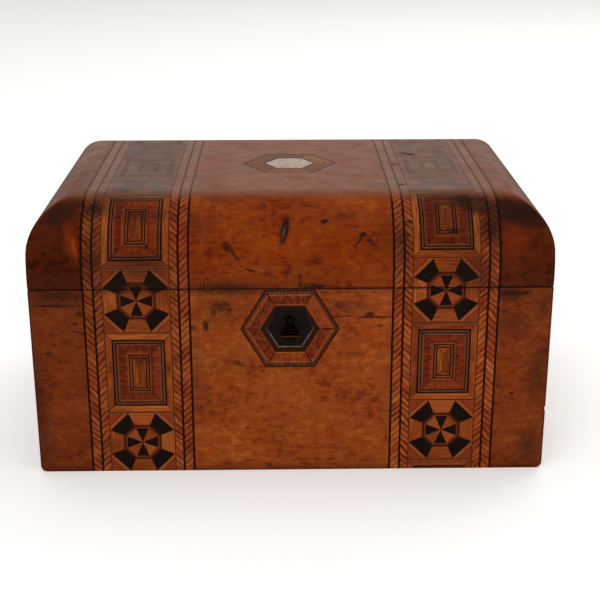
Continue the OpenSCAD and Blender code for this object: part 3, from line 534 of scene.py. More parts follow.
def end_finish(looks):
    """The redder, plainer veneer of the two ends and the strips beside the bands."""
    finish = Finish("end_veneer")
    y, z = finish.y, finish.z
    x, s = finish.skin()
    in_end = abs(x) - (BOX_W / 2 - END_R)
    out, up = most(in_end, 0.0), most(z - (BOX_H - END_R), 0.0)
    reach = compute("SQRT", out * out + up * up)
    flat = 1 - (reach > END_R - 0.6) * (in_end > 0.5)
    climb = least(z, BOX_H - END_R) + compute("ARCTAN2", up, out) * END_R
    along, across = choose(flat, x, y), choose(flat, s, climb)
    colour, relief = figured(along, across, shades(looks, "end"), 40.0, tone(78, 27, 10))

    marks = blots(x, s, END_KNOCKS)
    dark_patches = blots(x, s, [(-116, 200, 22, 60, 0, 0.35)], **HAZE)
    # Knocks, dark patches, and dirt with painted shade along the joint.
    dirt_and_shade = most(joint_dirt_and_shade(z, along), most(marks * flat, dark_patches))
    worn = cloud(along / 30, across / 14, 77.0, 3.0).rise(0.5, 0.72)
    dirt_and_shade = most(dirt_and_shade, worn * 0.35)
    # The top's loss of colour and its painted sheen reach down the rounded shoulders of the ends.
    top = most(over_top(finish), (1 - flat) * z.rise(BOX_H - 15.0, BOX_H - 4.0))
    upper = (z > JOINT_Z) * (1 - top)
    darker = (1 - upper * 0.53) * (1 - (x < 0.0) * 0.18)
    colour = blend(dirt_and_shade, faded_with_sheen(finish, tint(colour, darker), top), DIRT_AND_SHADE_TONE)

    rubbed = blots(x, s, END_RUBBED, ragged=1.0, **GLOW) * flat
    fibre = cloud(along / 2.2, across / 6, 63.0, 3.0, 0.6).rise(0.3, 0.6, 0.5, 0.85)
    colour = blend(rubbed * fibre, colour, tone(164, 62, 12))
    corner = (abs(x) > BOX_W / 2 - 1.1) * (abs(y) > BOX_D / 2 - 1.3)
    colour = blend(corner * 0.45, colour, tone(34, 16, 8))
    shine = gloss(finish, x, s, top * (1 - marks * 0.7)) + dirt_and_shade * 0.1
    return finish.coat(colour, relief * (1 - top * 0.5), shine)


# ---- The parquetry ----


def band_place(finish):
    """Where a point is in its band: which side, and how far across and along its tile."""
    x, s = finish.skin()
    right = x > 0.0
    u = x - (right * 2 - 1) * BAND_X
    pitch = PITCH["left"] + right * (PITCH["right"] - PITCH["left"])
    first = FIRST_STAR["left"] + right * (FIRST_STAR["right"] - FIRST_STAR["left"])
    tile = floor((s - first) / pitch + 0.5)
    v = s - first - tile * pitch
    star = abs(v) < TILE_HALF + 0.3
    return SimpleNamespace(x=x, s=s, right=right, u=u, v=v, across=abs(u), along=abs(v), tile=tile,
                           panel=floor((s - first) / pitch), star=star, oblong=1 - star)


def tile_place(finish):
    """The place in a band, and within a rectangular tile how far in it is from the sides and
    the ends, whether its piece lies along an end, and the length along that piece."""
    at = band_place(finish)
    at.from_side = TILE_HALF - at.across
    at.from_end = at.along - (TILE_HALF + TILE_LINE)
    at.inset = least(at.from_side, at.from_end)
    at.end_piece = at.from_side > at.from_end
    at.run = choose(at.end_piece, at.u, at.v)
    return at


def octagon(at):
    """The distance from a star tile's middle, measured square to its eight sides."""
    slant = (at.across + at.along) * DIAGONAL
    return most(most(at.across, at.along), slant)


def mitres(at):
    """The mitre lines of a rectangular tile and the line along its hipped middle."""
    mitre = abs(at.from_end - at.from_side) * 0.7
    ridge = at.across + at.end_piece * 9
    return least(mitre, ridge).line(0.22) * at.oblong


def piece_chance(at, seed=0.0):
    """A random number for each piece of wood in the band's tiles."""
    eighth = floor(compute("ARCTAN2", at.v, at.u) * (4 / math.pi) + 0.5)
    eighth = eighth + (eighth < -3.5) * 8
    in_star = eighth + (most(at.across, at.along) < WHEEL_R) * 9
    side = choose(at.end_piece, 2 + (at.v > 0.0), at.u > 0.0)
    in_oblong = side + floor(at.inset / FRAME_PITCH) * 5 + 20
    number = choose(at.star, at.tile, at.panel)
    return chance(choose(at.star, in_star, in_oblong), number + at.right * 13, seed + 0.5)


def satinwood_finish(looks):
    """The light wood of the stars, and of the nested frames and their middle panels."""
    finish = Finish("satinwood")
    at = tile_place(finish)
    reach = octagon(at)
    in_star = cloud(reach / 0.75, (at.u + at.v) / 15, at.tile, 3.0, 0.65)
    in_oblong = cloud(at.inset / 0.8, at.run / 16, at.tile + 9, 3.0, 0.65)
    grain = choose(at.star, in_star, in_oblong)
    share = 0.5 + (grain - 0.5) * 1.3 + (piece_chance(at) - 0.5) * 0.34
    colour = three_tones(share, shades(looks, "satin"))

    # The wheel and the middle panels are redder, and the thin frames darker.
    wheel = (reach < RING_INNER + 0.1) * at.star
    colour = blend(wheel * 0.35, colour, tone(146, 62, 20))
    middle = (at.inset > PANEL_FROM) * at.oblong
    colour = wash(middle * (0.85 - at.right * 0.45), colour, (0.62, 0.58, 0.6))
    colour = wash(at.oblong, colour, (0.92, 0.9, 0.9))
    thin = at.inset.rise(THIN_FROM - 0.1, THIN_FROM + 0.1) * at.oblong
    thin = thin * at.inset.rise(PANEL_FROM, PANEL_FROM + 0.2, 1.0, 0.0)
    colour = blend(thin * 0.6, colour, tone(112, 54, 26))
    colour = blend(thin * (at.inset < OUTER_TO) * 0.45, colour, tone(92, 58, 40))
    colour = blend(mitres(at) * 0.75, colour, tone(50, 20, 8))
    return inlay(finish, at, colour, grain)


def redwood_finish(looks):
    """The dark red wood of the nested frames, the ring round each wheel and the corners."""
    finish = Finish("redwood")
    at = tile_place(finish)
    blocks = cloud(at.run / 1.7, at.inset / 9, at.tile, 2.0, 0.6)
    share = 0.5 + (blocks - 0.5) * 1.2 + (piece_chance(at, 3.0) - 0.5) * 0.5
    colour = three_tones(share, shades(looks, "red"))
    colour = wash(1.0, colour, (1.06, 1.05, 0.84))
    colour = blend(mitres(at) * 0.6, colour, tone(40, 14, 8))

    # The ring round the wheel, with a pale line in it.
    reach = octagon(at)
    ring_line = abs(reach - RING_INNER - 0.5).line(0.35)
    ring_colour = blend(ring_line, tone(66, 24, 8), tone(112, 50, 22))
    colour = blend((reach < WHEEL_R + 0.4) * at.star, colour, ring_colour)

    # The corners: a bright strip by the star, duller wood beyond it, and a line between them.
    beyond = (at.across + at.along) * DIAGONAL - TILE_HALF
    grain = cloud(beyond / 0.6, (at.across - at.along) / 12, at.tile)
    bright = blend(grain, tone(132, 58, 18), tone(168, 84, 32))
    duller = blend(grain, tone(112, 42, 12), tone(146, 62, 20))
    in_corner = blend(beyond.rise(1.7, 2.0), bright, duller)
    strip_edge = abs(beyond - CORNER_STRIP).line(0.22)
    in_corner = blend(strip_edge * 0.8, in_corner, tone(62, 24, 10))
    colour = blend(at.star * (beyond > -0.1), colour, in_corner)
    return inlay(finish, at, colour, blocks)


def feather_finish(looks):
    """Strips of slanting lozenges that meet at the middle black line of each border."""
    finish = Finish("feather_banding")
    at = band_place(finish)
    from_line = abs(at.across - MIDDLE_LINE)
    strip = (at.across > MIDDLE_LINE) + (at.u > 0.0) * 2 + at.right * 4
    sway = cloud(at.s / 11, strip * 7.3)
    down = 1 - at.right * 2
    climb = at.s - down * from_line * looks.feather_slope + sway * 6 + strip * 1.7
    phase = climb / looks.feather_pitch
    part = compute("FRACT", phase)
    own = chance(floor(phase), strip, 2.0)
    wide = 0.08 + own * 0.12
    uneven = cloud(at.s / 9, strip * 4.1, 12.0, 3.0)
    slash = abs(part - 0.25).rise(wide * 0.4, wide, 1.0, 0.0) * (0.2 + own * 0.8)
    slash = slash * uneven.rise(0.36, 0.6, 1.0, 0.35)
    swell = abs(part - 0.7).rise(0.0, 0.36, 1.0, 0.0)
    grain = cloud(phase * 4, from_line / 3, strip, 3.0, 0.6)
    share = 0.36 + swell * 0.3 + (grain - 0.5) * 0.8 + (own - 0.5) * 0.25 + (uneven - 0.5) * 0.8
    colour = three_tones(share, shades(looks, "feather"))
    colour = blend(compute("MULTIPLY", slash, 0.9, clamp=True), colour, tone(46, 15, 6))
    colour = wash(1 - at.right, colour, (0.84, 0.83, 0.83))
    return inlay(finish, at, colour, grain)


def blade_finish(looks):
    """The black blades of the stars, with a trace of brown grain."""
    finish = Finish("ebony_blades")
    at = band_place(finish)
    grain = cloud(at.x / 2.4, at.s / 1.1, 5.0, 3.0, 0.6)
    return inlay(finish, at, blend(grain, looks.ebony, tone(32, 21, 14)), grain)


def line_finish(name, in_band=False):
    """Black lines; those that edge the band's tiles are thinner and browner."""
    finish = Finish(name)
    grain = cloud(finish.x / 1.3, finish.y / 1.3, finish.z / 1.3, 3.0, 0.6)
    colour = blend(grain, tone(17, 8, 4), tone(40, 20, 10))
    if in_band:
        at = band_place(finish)
        edge = (most(at.across, at.star * 99) > TILE_HALF - 0.1) * (at.across < 20.0)
        colour = blend(edge * 0.6, colour, tone(88, 42, 20))
        between = abs(at.along - TILE_HALF - TILE_LINE / 2)
        beside = (between < TILE_LINE / 2 + 0.05) * (at.across < TILE_HALF)
        colour = blend(beside * 0.4, colour, tone(70, 32, 16))
        colour = blend(beside * between.rise(0.18, 0.4) * 0.85, colour, tone(140, 70, 30))
        # On the top the band's lines turn greyish brown: fading with a painted sheen.
        colour = blend(over_top(finish) * 0.8, colour, tone(96, 58, 38))
    else:
        colour = blend(0.45, colour, tone(66, 28, 13))
    return finish.coat(colour, grain * 0.04, grain.rise(0.3, 0.7, 0.34, 0.48))


def inlay(finish, at, colour, grain):
    """The shared wear of all inlaid pieces: dirt and painted shade at the joint, stains, patches of
    dirt and painted shade, and the polish; the top also gets a painted sheen.
    """
    x, s = at.x, at.s
    marks = blots(x, s, INLAY_KNOCKS)
    # Dark patches on the bands, partly dirt and partly painted shade on the lid.
    dark_patches = blots(x, s, INLAY_GRIME_AND_SHADE, **HAZE)
    dirt_and_shade = most(most(joint_dirt_and_shade(s, x), marks), dark_patches)
    dusty = cloud(x / 12, s / 10, 55.0, 3.0).rise(0.45, 0.75)
    top = over_top(finish)
    tiles = top * (at.across < TILE_HALF + 0.5) * (0.38 - at.right * 0.16)
    # A painted sheen: a greyish tone over the wood of the top.
    colour = blend(top * 0.35, faded_with_sheen(finish, colour, top), tone(110, 84, 68))
    colour = blend(most(dirt_and_shade, dusty * 0.3 + tiles), colour, DIRT_AND_SHADE_TONE)
    shine = gloss(finish, x, s, top * (1 - marks * 0.9)) + dirt_and_shade * 0.1
    return finish.coat(colour, grain * 0.05, shine)


# ---- Small finishes ----


def escutcheon_place(finish):
    """Round the escutcheon: whether by a flat side, how far along a side, how far in from the
    outline, how far from a mitre, and how far below the middle."""
    low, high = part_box("escutcheon_outline")
    half_w, half_h = (high.x - low.x) * 500, (high.z - low.z) * 500
    middle_z = (low.z + high.z) * 500
    across, up = abs(finish.x - (low.x + high.x) * 500), abs(finish.z - middle_z)
    length = math.hypot(half_w / 2, half_h)
    nx, nz = half_h / length, half_w / 2 / length
    slant = (across * nx + up * nz) * (half_h / (half_w * nx))
    flat = up > slant
    return SimpleNamespace(flat=flat, along=choose(flat, across, up * nx - across * nz),
                           inward=half_h - most(up, slant), below=middle_z - finish.z,
                           mitre=least(abs(up - slant), up * 1.3))


def tooth_finish(looks):
    """The toothed stringing; on the slanting sides only the teeth's roots are left."""
    finish = Finish("toothed_stringing")
    x, z = finish.x, finish.z
    at = escutcheon_place(finish)
    inward = at.inward - TEETH_FROM
    part = compute("FRACT", at.along / looks.tooth_pitch + 0.25)
    tooth = abs(part - 0.5 + (cloud(x / 2, z / 2) - 0.5) * 0.25).line(0.2)
    worn = cloud(x / 6, z / 6, 8.0).rise(0.32, 0.6, 0.35, 1.0)
    on_flat = blend(tooth * worn, tone(60, 24, 9), tone(130, 75, 40))
    ticks = (1 - tooth) * inward.rise(0.9, 1.3, 1.0, 0.0) * (0.45 + worn * 0.5)
    on_slant = blend(ticks, tone(116, 52, 18), tone(28, 11, 6))
    colour = blend(at.flat, on_slant, on_flat)
    dash = cloud(x / 1.6, z / 1.6, 5.0).rise(0.4, 0.6, 0.35, 1.0)
    pale = inward.rise(1.75, 2.0) * (0.4 + at.flat * 0.4) * dash
    colour = blend(pale, colour, tone(168, 92, 44))
    colour = blend(at.mitre.line(0.5), colour, tone(74, 38, 26))
    return finish.coat(colour, tooth * 0.04, 0.4)


def frame_finish(name, tones, on_front):
    """Mitred frame pieces, on the front round the keyhole or on the top round the pearl."""
    finish = Finish(name)
    x, up, middle = finish.x, finish.y, 0.0
    if on_front:
        up, middle = finish.z, FRAME_MIDDLE_Z
    sixth = compute("ARCTAN2", up - middle, x - LOCK_X * 1000) * (3 / math.pi)
    own = chance(floor(sixth), 3.0, 1.0)
    blotch = cloud(x / 2.2, up / 2.6, 2.0, 3.0, 0.6)
    stripe = cloud(x / 0.9, up / 4, 6.0, 2.0, 0.6)
    share = 0.5 + (blotch - 0.5) * 1.2 + (stripe - 0.5) * 0.5 + (own - 0.5) * 0.4
    colour = three_tones(share, tones)
    if on_front:
        at = escutcheon_place(finish)
        colour = wash(1 - at.flat, colour, (0.88, 0.82, 0.78))
        colour = blend(at.mitre.line(0.4, 0.3) * 0.8, colour, tone(48, 18, 8))
        inner = abs(at.inward - FRAME_LINE).line(0.3) * (0.3 + at.flat * 0.4)
        colour = blend(inner, colour, tone(168, 84, 36))
    return finish.coat(colour, blotch * 0.04, 0.36)


def plate_finish(looks):
    """Nearly black plate in a worn brown bevel, with a painted highlight on its edge below."""
    finish = Finish("dark_plate")
    x, z = finish.x, finish.z
    at = escutcheon_place(finish)
    wear = cloud(x / 2.4, z / 2.4, 3.0, 3.0, 0.6)
    bevel = blend(wear, tone(32, 15, 8), tone(58, 31, 18))
    dark = blend(wear, looks.plate, tone(34, 26, 22))
    lip = at.inward + at.below.rise(-9.0, -5.0, 1.4, 0.0)
    colour = blend(lip.rise(PLATE_FLAT - 0.3, PLATE_FLAT + 0.1), bevel, dark)
    from_key = abs(x - LOCK_X * 1000) + abs(z - KEYHOLE_Z * 1000 + 3.5) * 0.8
    colour = blend(from_key.rise(5.5, 11.0, 0.75, 0.0), colour, tone(15, 12, 11))
    # A painted highlight along the plate's edge below its middle, where the step faces up to the
    # light.
    edge = abs(at.inward - PLATE_FLAT).line(0.25) * at.below.rise(-3.0, 4.0)
    colour = blend(edge * wear.rise(0.3, 0.6, 0.4, 0.9), colour, tone(124, 108, 94))
    return finish.coat(colour, wear * 0.04, wear.rise(0.3, 0.7, 0.26, 0.42))


def pearl_finish(looks):
    """Mother-of-pearl with soft green and rosy bands."""
    finish = Finish("pearl")
    x, y = finish.x, finish.y
    sheen = cloud(x / 5, y / 8, 1.0, 3.0, 0.6, 1.2)
    band = cloud(x / 2.2, y / 5.5, 4.0, 2.0, 0.5, 1.5)
    colour = blend(sheen.rise(0.35, 0.65), looks.pearl_shade, looks.pearl_light)
    colour = blend(band.rise(0.5, 0.72) * 0.25, colour, tone(166, 170, 164))
    colour = blend(band.rise(0.28, 0.46, 1.0, 0.0) * 0.25, colour, tone(180, 152, 140))
    return finish.coat(colour, sheen * 0.05, 0.24)


def carcase_finish(looks, in_ends=False):
    """Plain boards, whose grain runs along them: along x, or along y in the two ends."""
    finish = Finish("end_boards" if in_ends else "long_boards")
    z = finish.z
    along, across = (finish.y, finish.x) if in_ends else (finish.x, finish.y)
    rings = cloud(along / 60, across / 2.6, z / 2.6, 3.0, 0.6, 0.6)
    pores = cloud(along / 9, across / 0.5, z / 0.5)
    share = 0.5 + (rings - 0.5) * 1.3 + (pores - 0.5) * 0.5
    colour = three_tones(share, (tone(92, 48, 22), looks.carcase, tone(152, 92, 50)))
    return finish.coat(colour, pores * 0.06, rings.rise(0.3, 0.7, 0.48, 0.62))


def lining_finish(looks):
    """Ribbed paper lining with a little fading."""
    finish = Finish("lining")
    x, y, z = finish.x, finish.y, finish.z
    weave = compute("SINE", (x + y) * 7.0) * compute("SINE", (z * 1.4 + x - y) * 7.0)
    fade = cloud(x / 30, y / 30, z / 30, 3.0, 0.6)
    colour = tint(blend(fade, tone(58, 20, 34), looks.lining), 1 + weave * 0.12)
    return finish.coat(colour, weave * 0.04, fade.rise(0.3, 0.7, 0.72, 0.9))


def brass_finish(looks, name):
    """Tarnished brass; the lock's is darkened with its depth below the joint, as painted shade
    inside the box.
    """
    finish = Finish(name, 0.6)
    x, y, z = finish.x, finish.y, finish.z
    tarnish = cloud(x / 3, y / 3, z / 3, 4.0, 0.65)
    brushed = cloud(x / 6, y / 0.25, z / 0.25)
    colour = blend(tarnish.rise(0.3, 0.78), looks.brass, tone(104, 74, 38))
    if name == "lock_brass":
        # Painted shade inside the box: the lock's brass darkens the deeper it lies below the joint.
        sunk = z.rise(JOINT_Z - 6, JOINT_Z - 1.5, 0.92, 0.0)
        colour = blend(sunk, colour, tone(18, 13, 10))
    relief = brushed * 0.02 + tarnish * 0.04
    return finish.coat(colour, relief, tarnish.rise(0.35, 0.7, 0.26, 0.5))


def spotted_metal(name, metallic, clean, spotted, roughness, sharp=False):
    """Metal that has darkened in spots, whose edges are soft or sharp."""
    finish = Finish(name, metallic)
    spots = cloud(finish.x / 2, finish.y / 2, finish.z / 2, 4.0, 0.65)
    colour = blend(spots.rise(0.45, 0.7) if sharp else spots, clean, spotted)
    return finish.coat(colour, spots * 0.04, spots.rise(0.4, 0.7, *roughness))


# ---- Pieces ----


def deselect():
    """Back to object mode with nothing selected."""
    if bpy.context.object and bpy.context.object.mode != "OBJECT":
        bpy.ops.object.mode_set(mode="OBJECT")
    bpy.ops.object.select_all(action="DESELECT")


def only(piece):
    """Selects that piece alone and makes it the active one."""
    deselect()
    piece.select_set(True)
    bpy.context.view_layer.objects.active = piece


def dress(material, *names):
    """Gives CAD nodes a finish through their objects' own material slots."""
    for name in names:
        for slot in nodes[name].material_slots:
            slot.link = "OBJECT"
            slot.material = material


def settle(piece, name, node, material):
    """Names a new piece and lets it stand for a CAD node, on that node's body."""
    piece.name = name
    piece.data.materials.clear()
    piece.data.materials.append(material)
    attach(piece, nodes[node]["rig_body"])
    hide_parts(node)


def modify(piece, kind, **settings):
    """Adds a modifier with these settings to the piece and applies it."""
    only(piece)
    modifier = piece.modifiers.new(kind.lower(), kind)
    for name, value in settings.items():
        setattr(modifier, name, value)
    bpy.ops.object.modifier_apply(modifier=modifier.name)


def worn_copy(name, node, width, material, segments=2, least_angle=30):
    """A copy of a node's outline with its sharp edges worn round by that width."""
    piece = bpy.data.objects.new(name, nodes[node].data.copy())
    bpy.context.scene.collection.objects.link(piece)
    only(piece)
    bpy.ops.mesh.customdata_custom_splitnormals_clear()
    bpy.ops.object.mode_set(mode="EDIT")
    bpy.ops.mesh.select_all(action="SELECT")
    bpy.ops.mesh.remove_doubles(threshold=1e-6)
    bpy.ops.mesh.dissolve_limited(angle_limit=math.radians(0.4))
    bpy.ops.object.mode_set(mode="OBJECT")
    modify(piece, "BEVEL", width=width, segments=segments, limit_method="ANGLE",
           angle_limit=math.radians(least_angle), harden_normals=False)
    bpy.ops.object.shade_smooth_by_angle(angle=math.radians(32))
    settle(piece, name, node, material)


def cut_away(piece, cutter):
    """Cuts the cutter's form out of the piece and clears the cutter away."""
    modify(piece, "BOOLEAN", operation="DIFFERENCE", solver="EXACT", object=cutter)
    bpy.data.objects.remove(cutter)


def colour_choice(name, description, red, green, blue):
    """A colour that the user can change, given as it looks on a screen."""
    return FloatVectorProperty(name=name, description=description, subtype="COLOR",
                               default=tone(red, green, blue), min=0, max=1)


class WorkBoxLooks(bpy.types.PropertyGroup):
    """Sizes and colours of the box's finishes."""

    worn_corner: FloatProperty(
        name="Worn corner", description="Rounding of the veneers' outer corners",
        default=0.0006, min=0.0001, max=0.001, unit="LENGTH")
    chip_height: FloatProperty(
        name="Chip height", description="Height of the chip in the right end's front edge",
        default=0.0362, min=0.01, max=0.1, unit="LENGTH")
    metal_edge: FloatProperty(
        name="Metal edge", description="Rounding of the edges of the brass parts",
        default=0.00015, min=0.00005, max=0.0004, unit="LENGTH")
    feather_pitch: FloatProperty(
        name="Feather pitch", description="Lozenge pitch of the feather strips, mm",
        default=3.9, min=2.0, max=8.0)
    feather_slope: FloatProperty(
        name="Feather slope", description="Rise of the lozenges for each mm across",
        default=0.95, min=0.3, max=2.0)
    tooth_pitch: FloatProperty(
        name="Tooth pitch", description="Pitch of the escutcheon's toothed stringing, mm",
        default=1.3, min=0.6, max=3.0)
    ebony: colour_choice("Ebony", "Tone of the black blades", 19, 11, 7)
    plate: colour_choice("Dark plate", "Tone of the plate round the keyhole", 21, 14, 11)
    pearl_shade: colour_choice("Pearl, shade", "Darker tone of the pearl", 160, 141, 128)
    pearl_light: colour_choice("Pearl, light", "Lighter tone of the pearl", 180, 160, 147)
    carcase: colour_choice("Carcase wood", "Main tone of the boards", 126, 70, 34)
    lining: colour_choice("Lining", "Main tone of the lining", 92, 32, 50)
    brass: colour_choice("Brass", "Clean tone of the lock and the hinges", 188, 148, 84)


for wood, (label, *tones) in WOODS.items():
    for depth, colour in zip(DEPTHS, tones):
        WorkBoxLooks.__annotations__[f"{wood}_{depth}"] = colour_choice(
            f"{label}, {depth}", f"The {depth} tone of the {label.lower()}", *colour)


class StudioLooks(bpy.types.PropertyGroup):
    """Camera, floor and light."""

    camera_place: FloatVectorProperty(
        name="Camera", description="Where the camera stands", subtype="XYZ", unit="LENGTH",
        default=(-0.00568, -0.71776, 0.32187))
    camera_turn: FloatVectorProperty(
        name="Turn, fall and roll", description="Camera turn to the right, fall and roll",
        subtype="EULER",
        default=(math.radians(0.95), math.radians(19.656), math.radians(-0.055)))
    lens: FloatProperty(
        name="Lens", description="Focal length, mm", default=73.96, min=20, max=200)
    floor: colour_choice("Floor", "Tone of the floor", 242, 242, 242)
    key_power: FloatProperty(
        name="Key light", description="Power of the front light, W", default=13, min=0)
    fill_power: FloatProperty(
        name="Fill light", description="Power of the light behind, W", default=12, min=0)
    top_power: FloatProperty(
        name="Top light", description="Power of the light overhead, W", default=26, min=0)
    backdrop_light: FloatProperty(
        name="Backdrop", description="Brightness of the backdrop", default=0.45, min=0)
    room_light: FloatProperty(
        name="Room light", description="Brightness all round", default=0.35, min=0)


class DressVeneers(bpy.types.Operator):
    """Veneers of the base and the lid, with worn outer corners at the ends"""

    bl_idname = "workbox.veneers"
    bl_label = "Dress the veneers"

    def execute(self, context):
        looks = context.scene.work_box
        centre, end = centre_finish(looks), end_finish(looks)
        dress(centre, "base_front_veneer", "base_back_veneer", "lid_centre_veneer")
        for side in ("left", "right"):
            # The lid's outer edges get blunter as they climb, so they wear from a smaller angle.
            for part, segments, least_angle in (("base", 2, 30), ("lid", 3, 24)):
                worn_copy(f"{part}_{side}_end_skin", f"{part}_{side}_veneer", looks.worn_corner,
                          end, segments, least_angle)
        self.chip(bpy.data.objects["base_right_end_skin"], looks.chip_height)
        return {"FINISHED"}

    def chip(self, skin, height):
        """Knocks a chip out of the skin's front edge, at that height."""
        deselect()
        bpy.ops.mesh.primitive_cone_add(
            vertices=7, radius1=0.0031, radius2=0.0012, depth=0.009,
            location=(RIGHT_X + 0.0021, FRONT_Y + 0.0035, height),
            rotation=(math.radians(-90), math.radians(11), 0))
        cut_away(skin, bpy.context.object)


class DressParquetry(bpy.types.Operator):
    """Black lines, blades, satinwood, redwood and feather strips of both bands"""

    bl_idname = "workbox.parquetry"
    bl_label = "Dress the parquetry"

    def execute(self, context):
        looks = context.scene.work_box
        woods = {"lines": line_finish("black_stringing", in_band=True),
                 "blades": blade_finish(looks), "satinwood": satinwood_finish(looks),
                 "redwood": redwood_finish(looks), "feather": feather_finish(looks)}
        for wood, material in woods.items():
            dress(material, f"base_band_{wood}", f"lid_band_{wood}")
        return {"FINISHED"}


class DressEscutcheon(bpy.types.Operator):
    """Hexagonal escutcheon with its toothed stringing, mitred frame and sunk plate"""

    bl_idname = "workbox.escutcheon"
    bl_label = "Dress the escutcheon"

    def execute(self, context):
        looks = context.scene.work_box
        mitred = (tone(88, 30, 8), tone(126, 50, 13), tone(154, 68, 20))
        dress(line_finish("escutcheon_lines"), "escutcheon_outline")
        dress(tooth_finish(looks), "escutcheon_dentil")
        dress(frame_finish("escutcheon_frame_wood", mitred, True), "escutcheon_frame")
        self.sunk_plate(plate_finish(looks))
        return {"FINISHED"}

    def sunk_plate(self, material):
        """A hexagon with a flat rim, a steep step down and the keyhole cut through it."""
        low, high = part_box("escutcheon_plate")
        middle = (low + high) / 2
        deselect()
        bpy.ops.mesh.primitive_circle_add(
            vertices=6, radius=0.01, fill_type="NGON",
            location=(middle.x, FRONT_Y + 0.0001, middle.z),
            rotation=(math.radians(90), math.radians(30), 0))
        plate = bpy.context.object
        bpy.ops.object.transform_apply(location=False, rotation=True, scale=False)
        size = plate.dimensions
        plate.scale = ((high.x - low.x) / size.x, 1, (high.z - low.z) / size.z)
        bpy.ops.object.transform_apply(location=True, rotation=False, scale=True)
        bpy.ops.object.mode_set(mode="EDIT")
        bpy.ops.mesh.select_all(action="SELECT")
        for width, fall in PLATE_STEPS:
            bpy.ops.mesh.inset(thickness=width, depth=-fall)
        bpy.ops.object.mode_set(mode="OBJECT")
        modify(plate, "SOLIDIFY", thickness=PLATE_T, offset=-1)
        for cutter in self.keyhole_cutters():
            cut_away(plate, cutter)
        settle(plate, "sunk_keyhole_plate", "escutcheon_plate", material)

    def keyhole_cutters(self):
        """The round eye and the flared skirt, as two solids that pass through the plate."""
        depth = 0.006
        eye_middle = (LOCK_X, FRONT_Y, KEYHOLE_Z)
        deselect()
        bpy.ops.mesh.primitive_cylinder_add(vertices=40, radius=KEYHOLE_R, depth=depth,
                                            location=eye_middle, rotation=(math.radians(90), 0, 0))
        eye = bpy.context.object
        waist = KEYHOLE_Z - SKIRT_H / 2
        bpy.ops.mesh.primitive_cube_add(size=1, location=(LOCK_X, FRONT_Y, waist))
        skirt = bpy.context.object
        skirt.scale = (SKIRT_W, depth, SKIRT_H)
        bpy.ops.object.transform_apply(location=True, rotation=False, scale=True)
        bpy.ops.object.mode_set(mode="EDIT")
        bpy.ops.mesh.select_all(action="DESELECT")
        bpy.ops.object.mode_set(mode="OBJECT")
        for vertex in skirt.data.vertices:
            vertex.select = vertex.co.z > waist
        bpy.ops.object.mode_set(mode="EDIT")
        bpy.ops.transform.resize(value=(1.4 * KEYHOLE_R / SKIRT_W, 1, 1),
                                 center_override=eye_middle)
        bpy.ops.object.mode_set(mode="OBJECT")
        return [eye, skirt]


class DressPlaque(bpy.types.Operator):
    """Pearl hexagon in the lid with its mitred frame and lines"""

    bl_idname = "workbox.plaque"
    bl_label = "Dress the plaque"

    def execute(self, context):
        looks = context.scene.work_box
        mitred = (tone(88, 46, 22), tone(118, 66, 32), tone(140, 84, 46))
        dress(line_finish("plaque_stringing"), "plaque_lines")
        dress(frame_finish("plaque_frame_wood", mitred, False), "plaque_frame")
        worn_copy("pearl_hexagon", "plaque_pearl", PEARL_EDGE, pearl_finish(looks))
        return {"FINISHED"}


class DressCarcase(bpy.types.Operator):
    """Boards of the base and the lid, and their lining"""

    bl_idname = "workbox.carcase"
    bl_label = "Dress the carcase"

    def execute(self, context):
        looks = context.scene.work_box
        dress(carcase_finish(looks), "base_front_board", "base_back_board", "base_bottom_board",
              "lid_front_rail", "lid_back_rail", "lid_top_board")
        dress(carcase_finish(looks, in_ends=True), "base_left_board", "base_right_board",
              "lid_left_end", "lid_right_end")
        dress(lining_finish(looks), "base_lining", "lid_lining")
        return {"FINISHED"}


class DressLock(bpy.types.Operator):
    """Lock plate, case, bolt, drill pin, spring and link plate"""

    bl_idname = "workbox.lock"
    bl_label = "Dress the lock"

    def execute(self, context):
        looks = context.scene.work_box
        brass = brass_finish(looks, "lock_brass")
        black = spotted_metal("blackened_brass", 0.6, tone(20, 15, 11), tone(52, 38, 24),
                              (0.5, 0.7))
        steel = spotted_metal("spring_steel", 0.7, tone(150, 150, 154), tone(84, 62, 46),
                              (0.3, 0.6), sharp=True)
        for name, metal in (("lock_plate", brass), ("lock_bolt", brass),
                            ("lock_link_plate", brass), ("lock_case", black)):
            worn_copy(f"{name}_worn", name, looks.metal_edge, metal)
        dress(brass, "lock_screws", "link_screws")
        dress(black, "lock_drill_pin")
        dress(steel, "lock_spring")
        return {"FINISHED"}


class DressHinges(bpy.types.Operator):
    """Two butt hinges with their pins and screws"""

    bl_idname = "workbox.hinges"
    bl_label = "Dress the hinges"

    def execute(self, context):
        looks = context.scene.work_box
        brass = brass_finish(looks, "hinge_brass")
        for side in ("left", "right"):
            for part in ("base", "lid"):
                worn_copy(f"{side}_{part}_leaf_worn", f"{side}_hinge_{part}_leaf",
                          looks.metal_edge, brass)
            dress(brass, f"{side}_hinge_pin")
        dress(brass, "hinge_base_screws", "hinge_lid_screws")
        return {"FINISHED"}


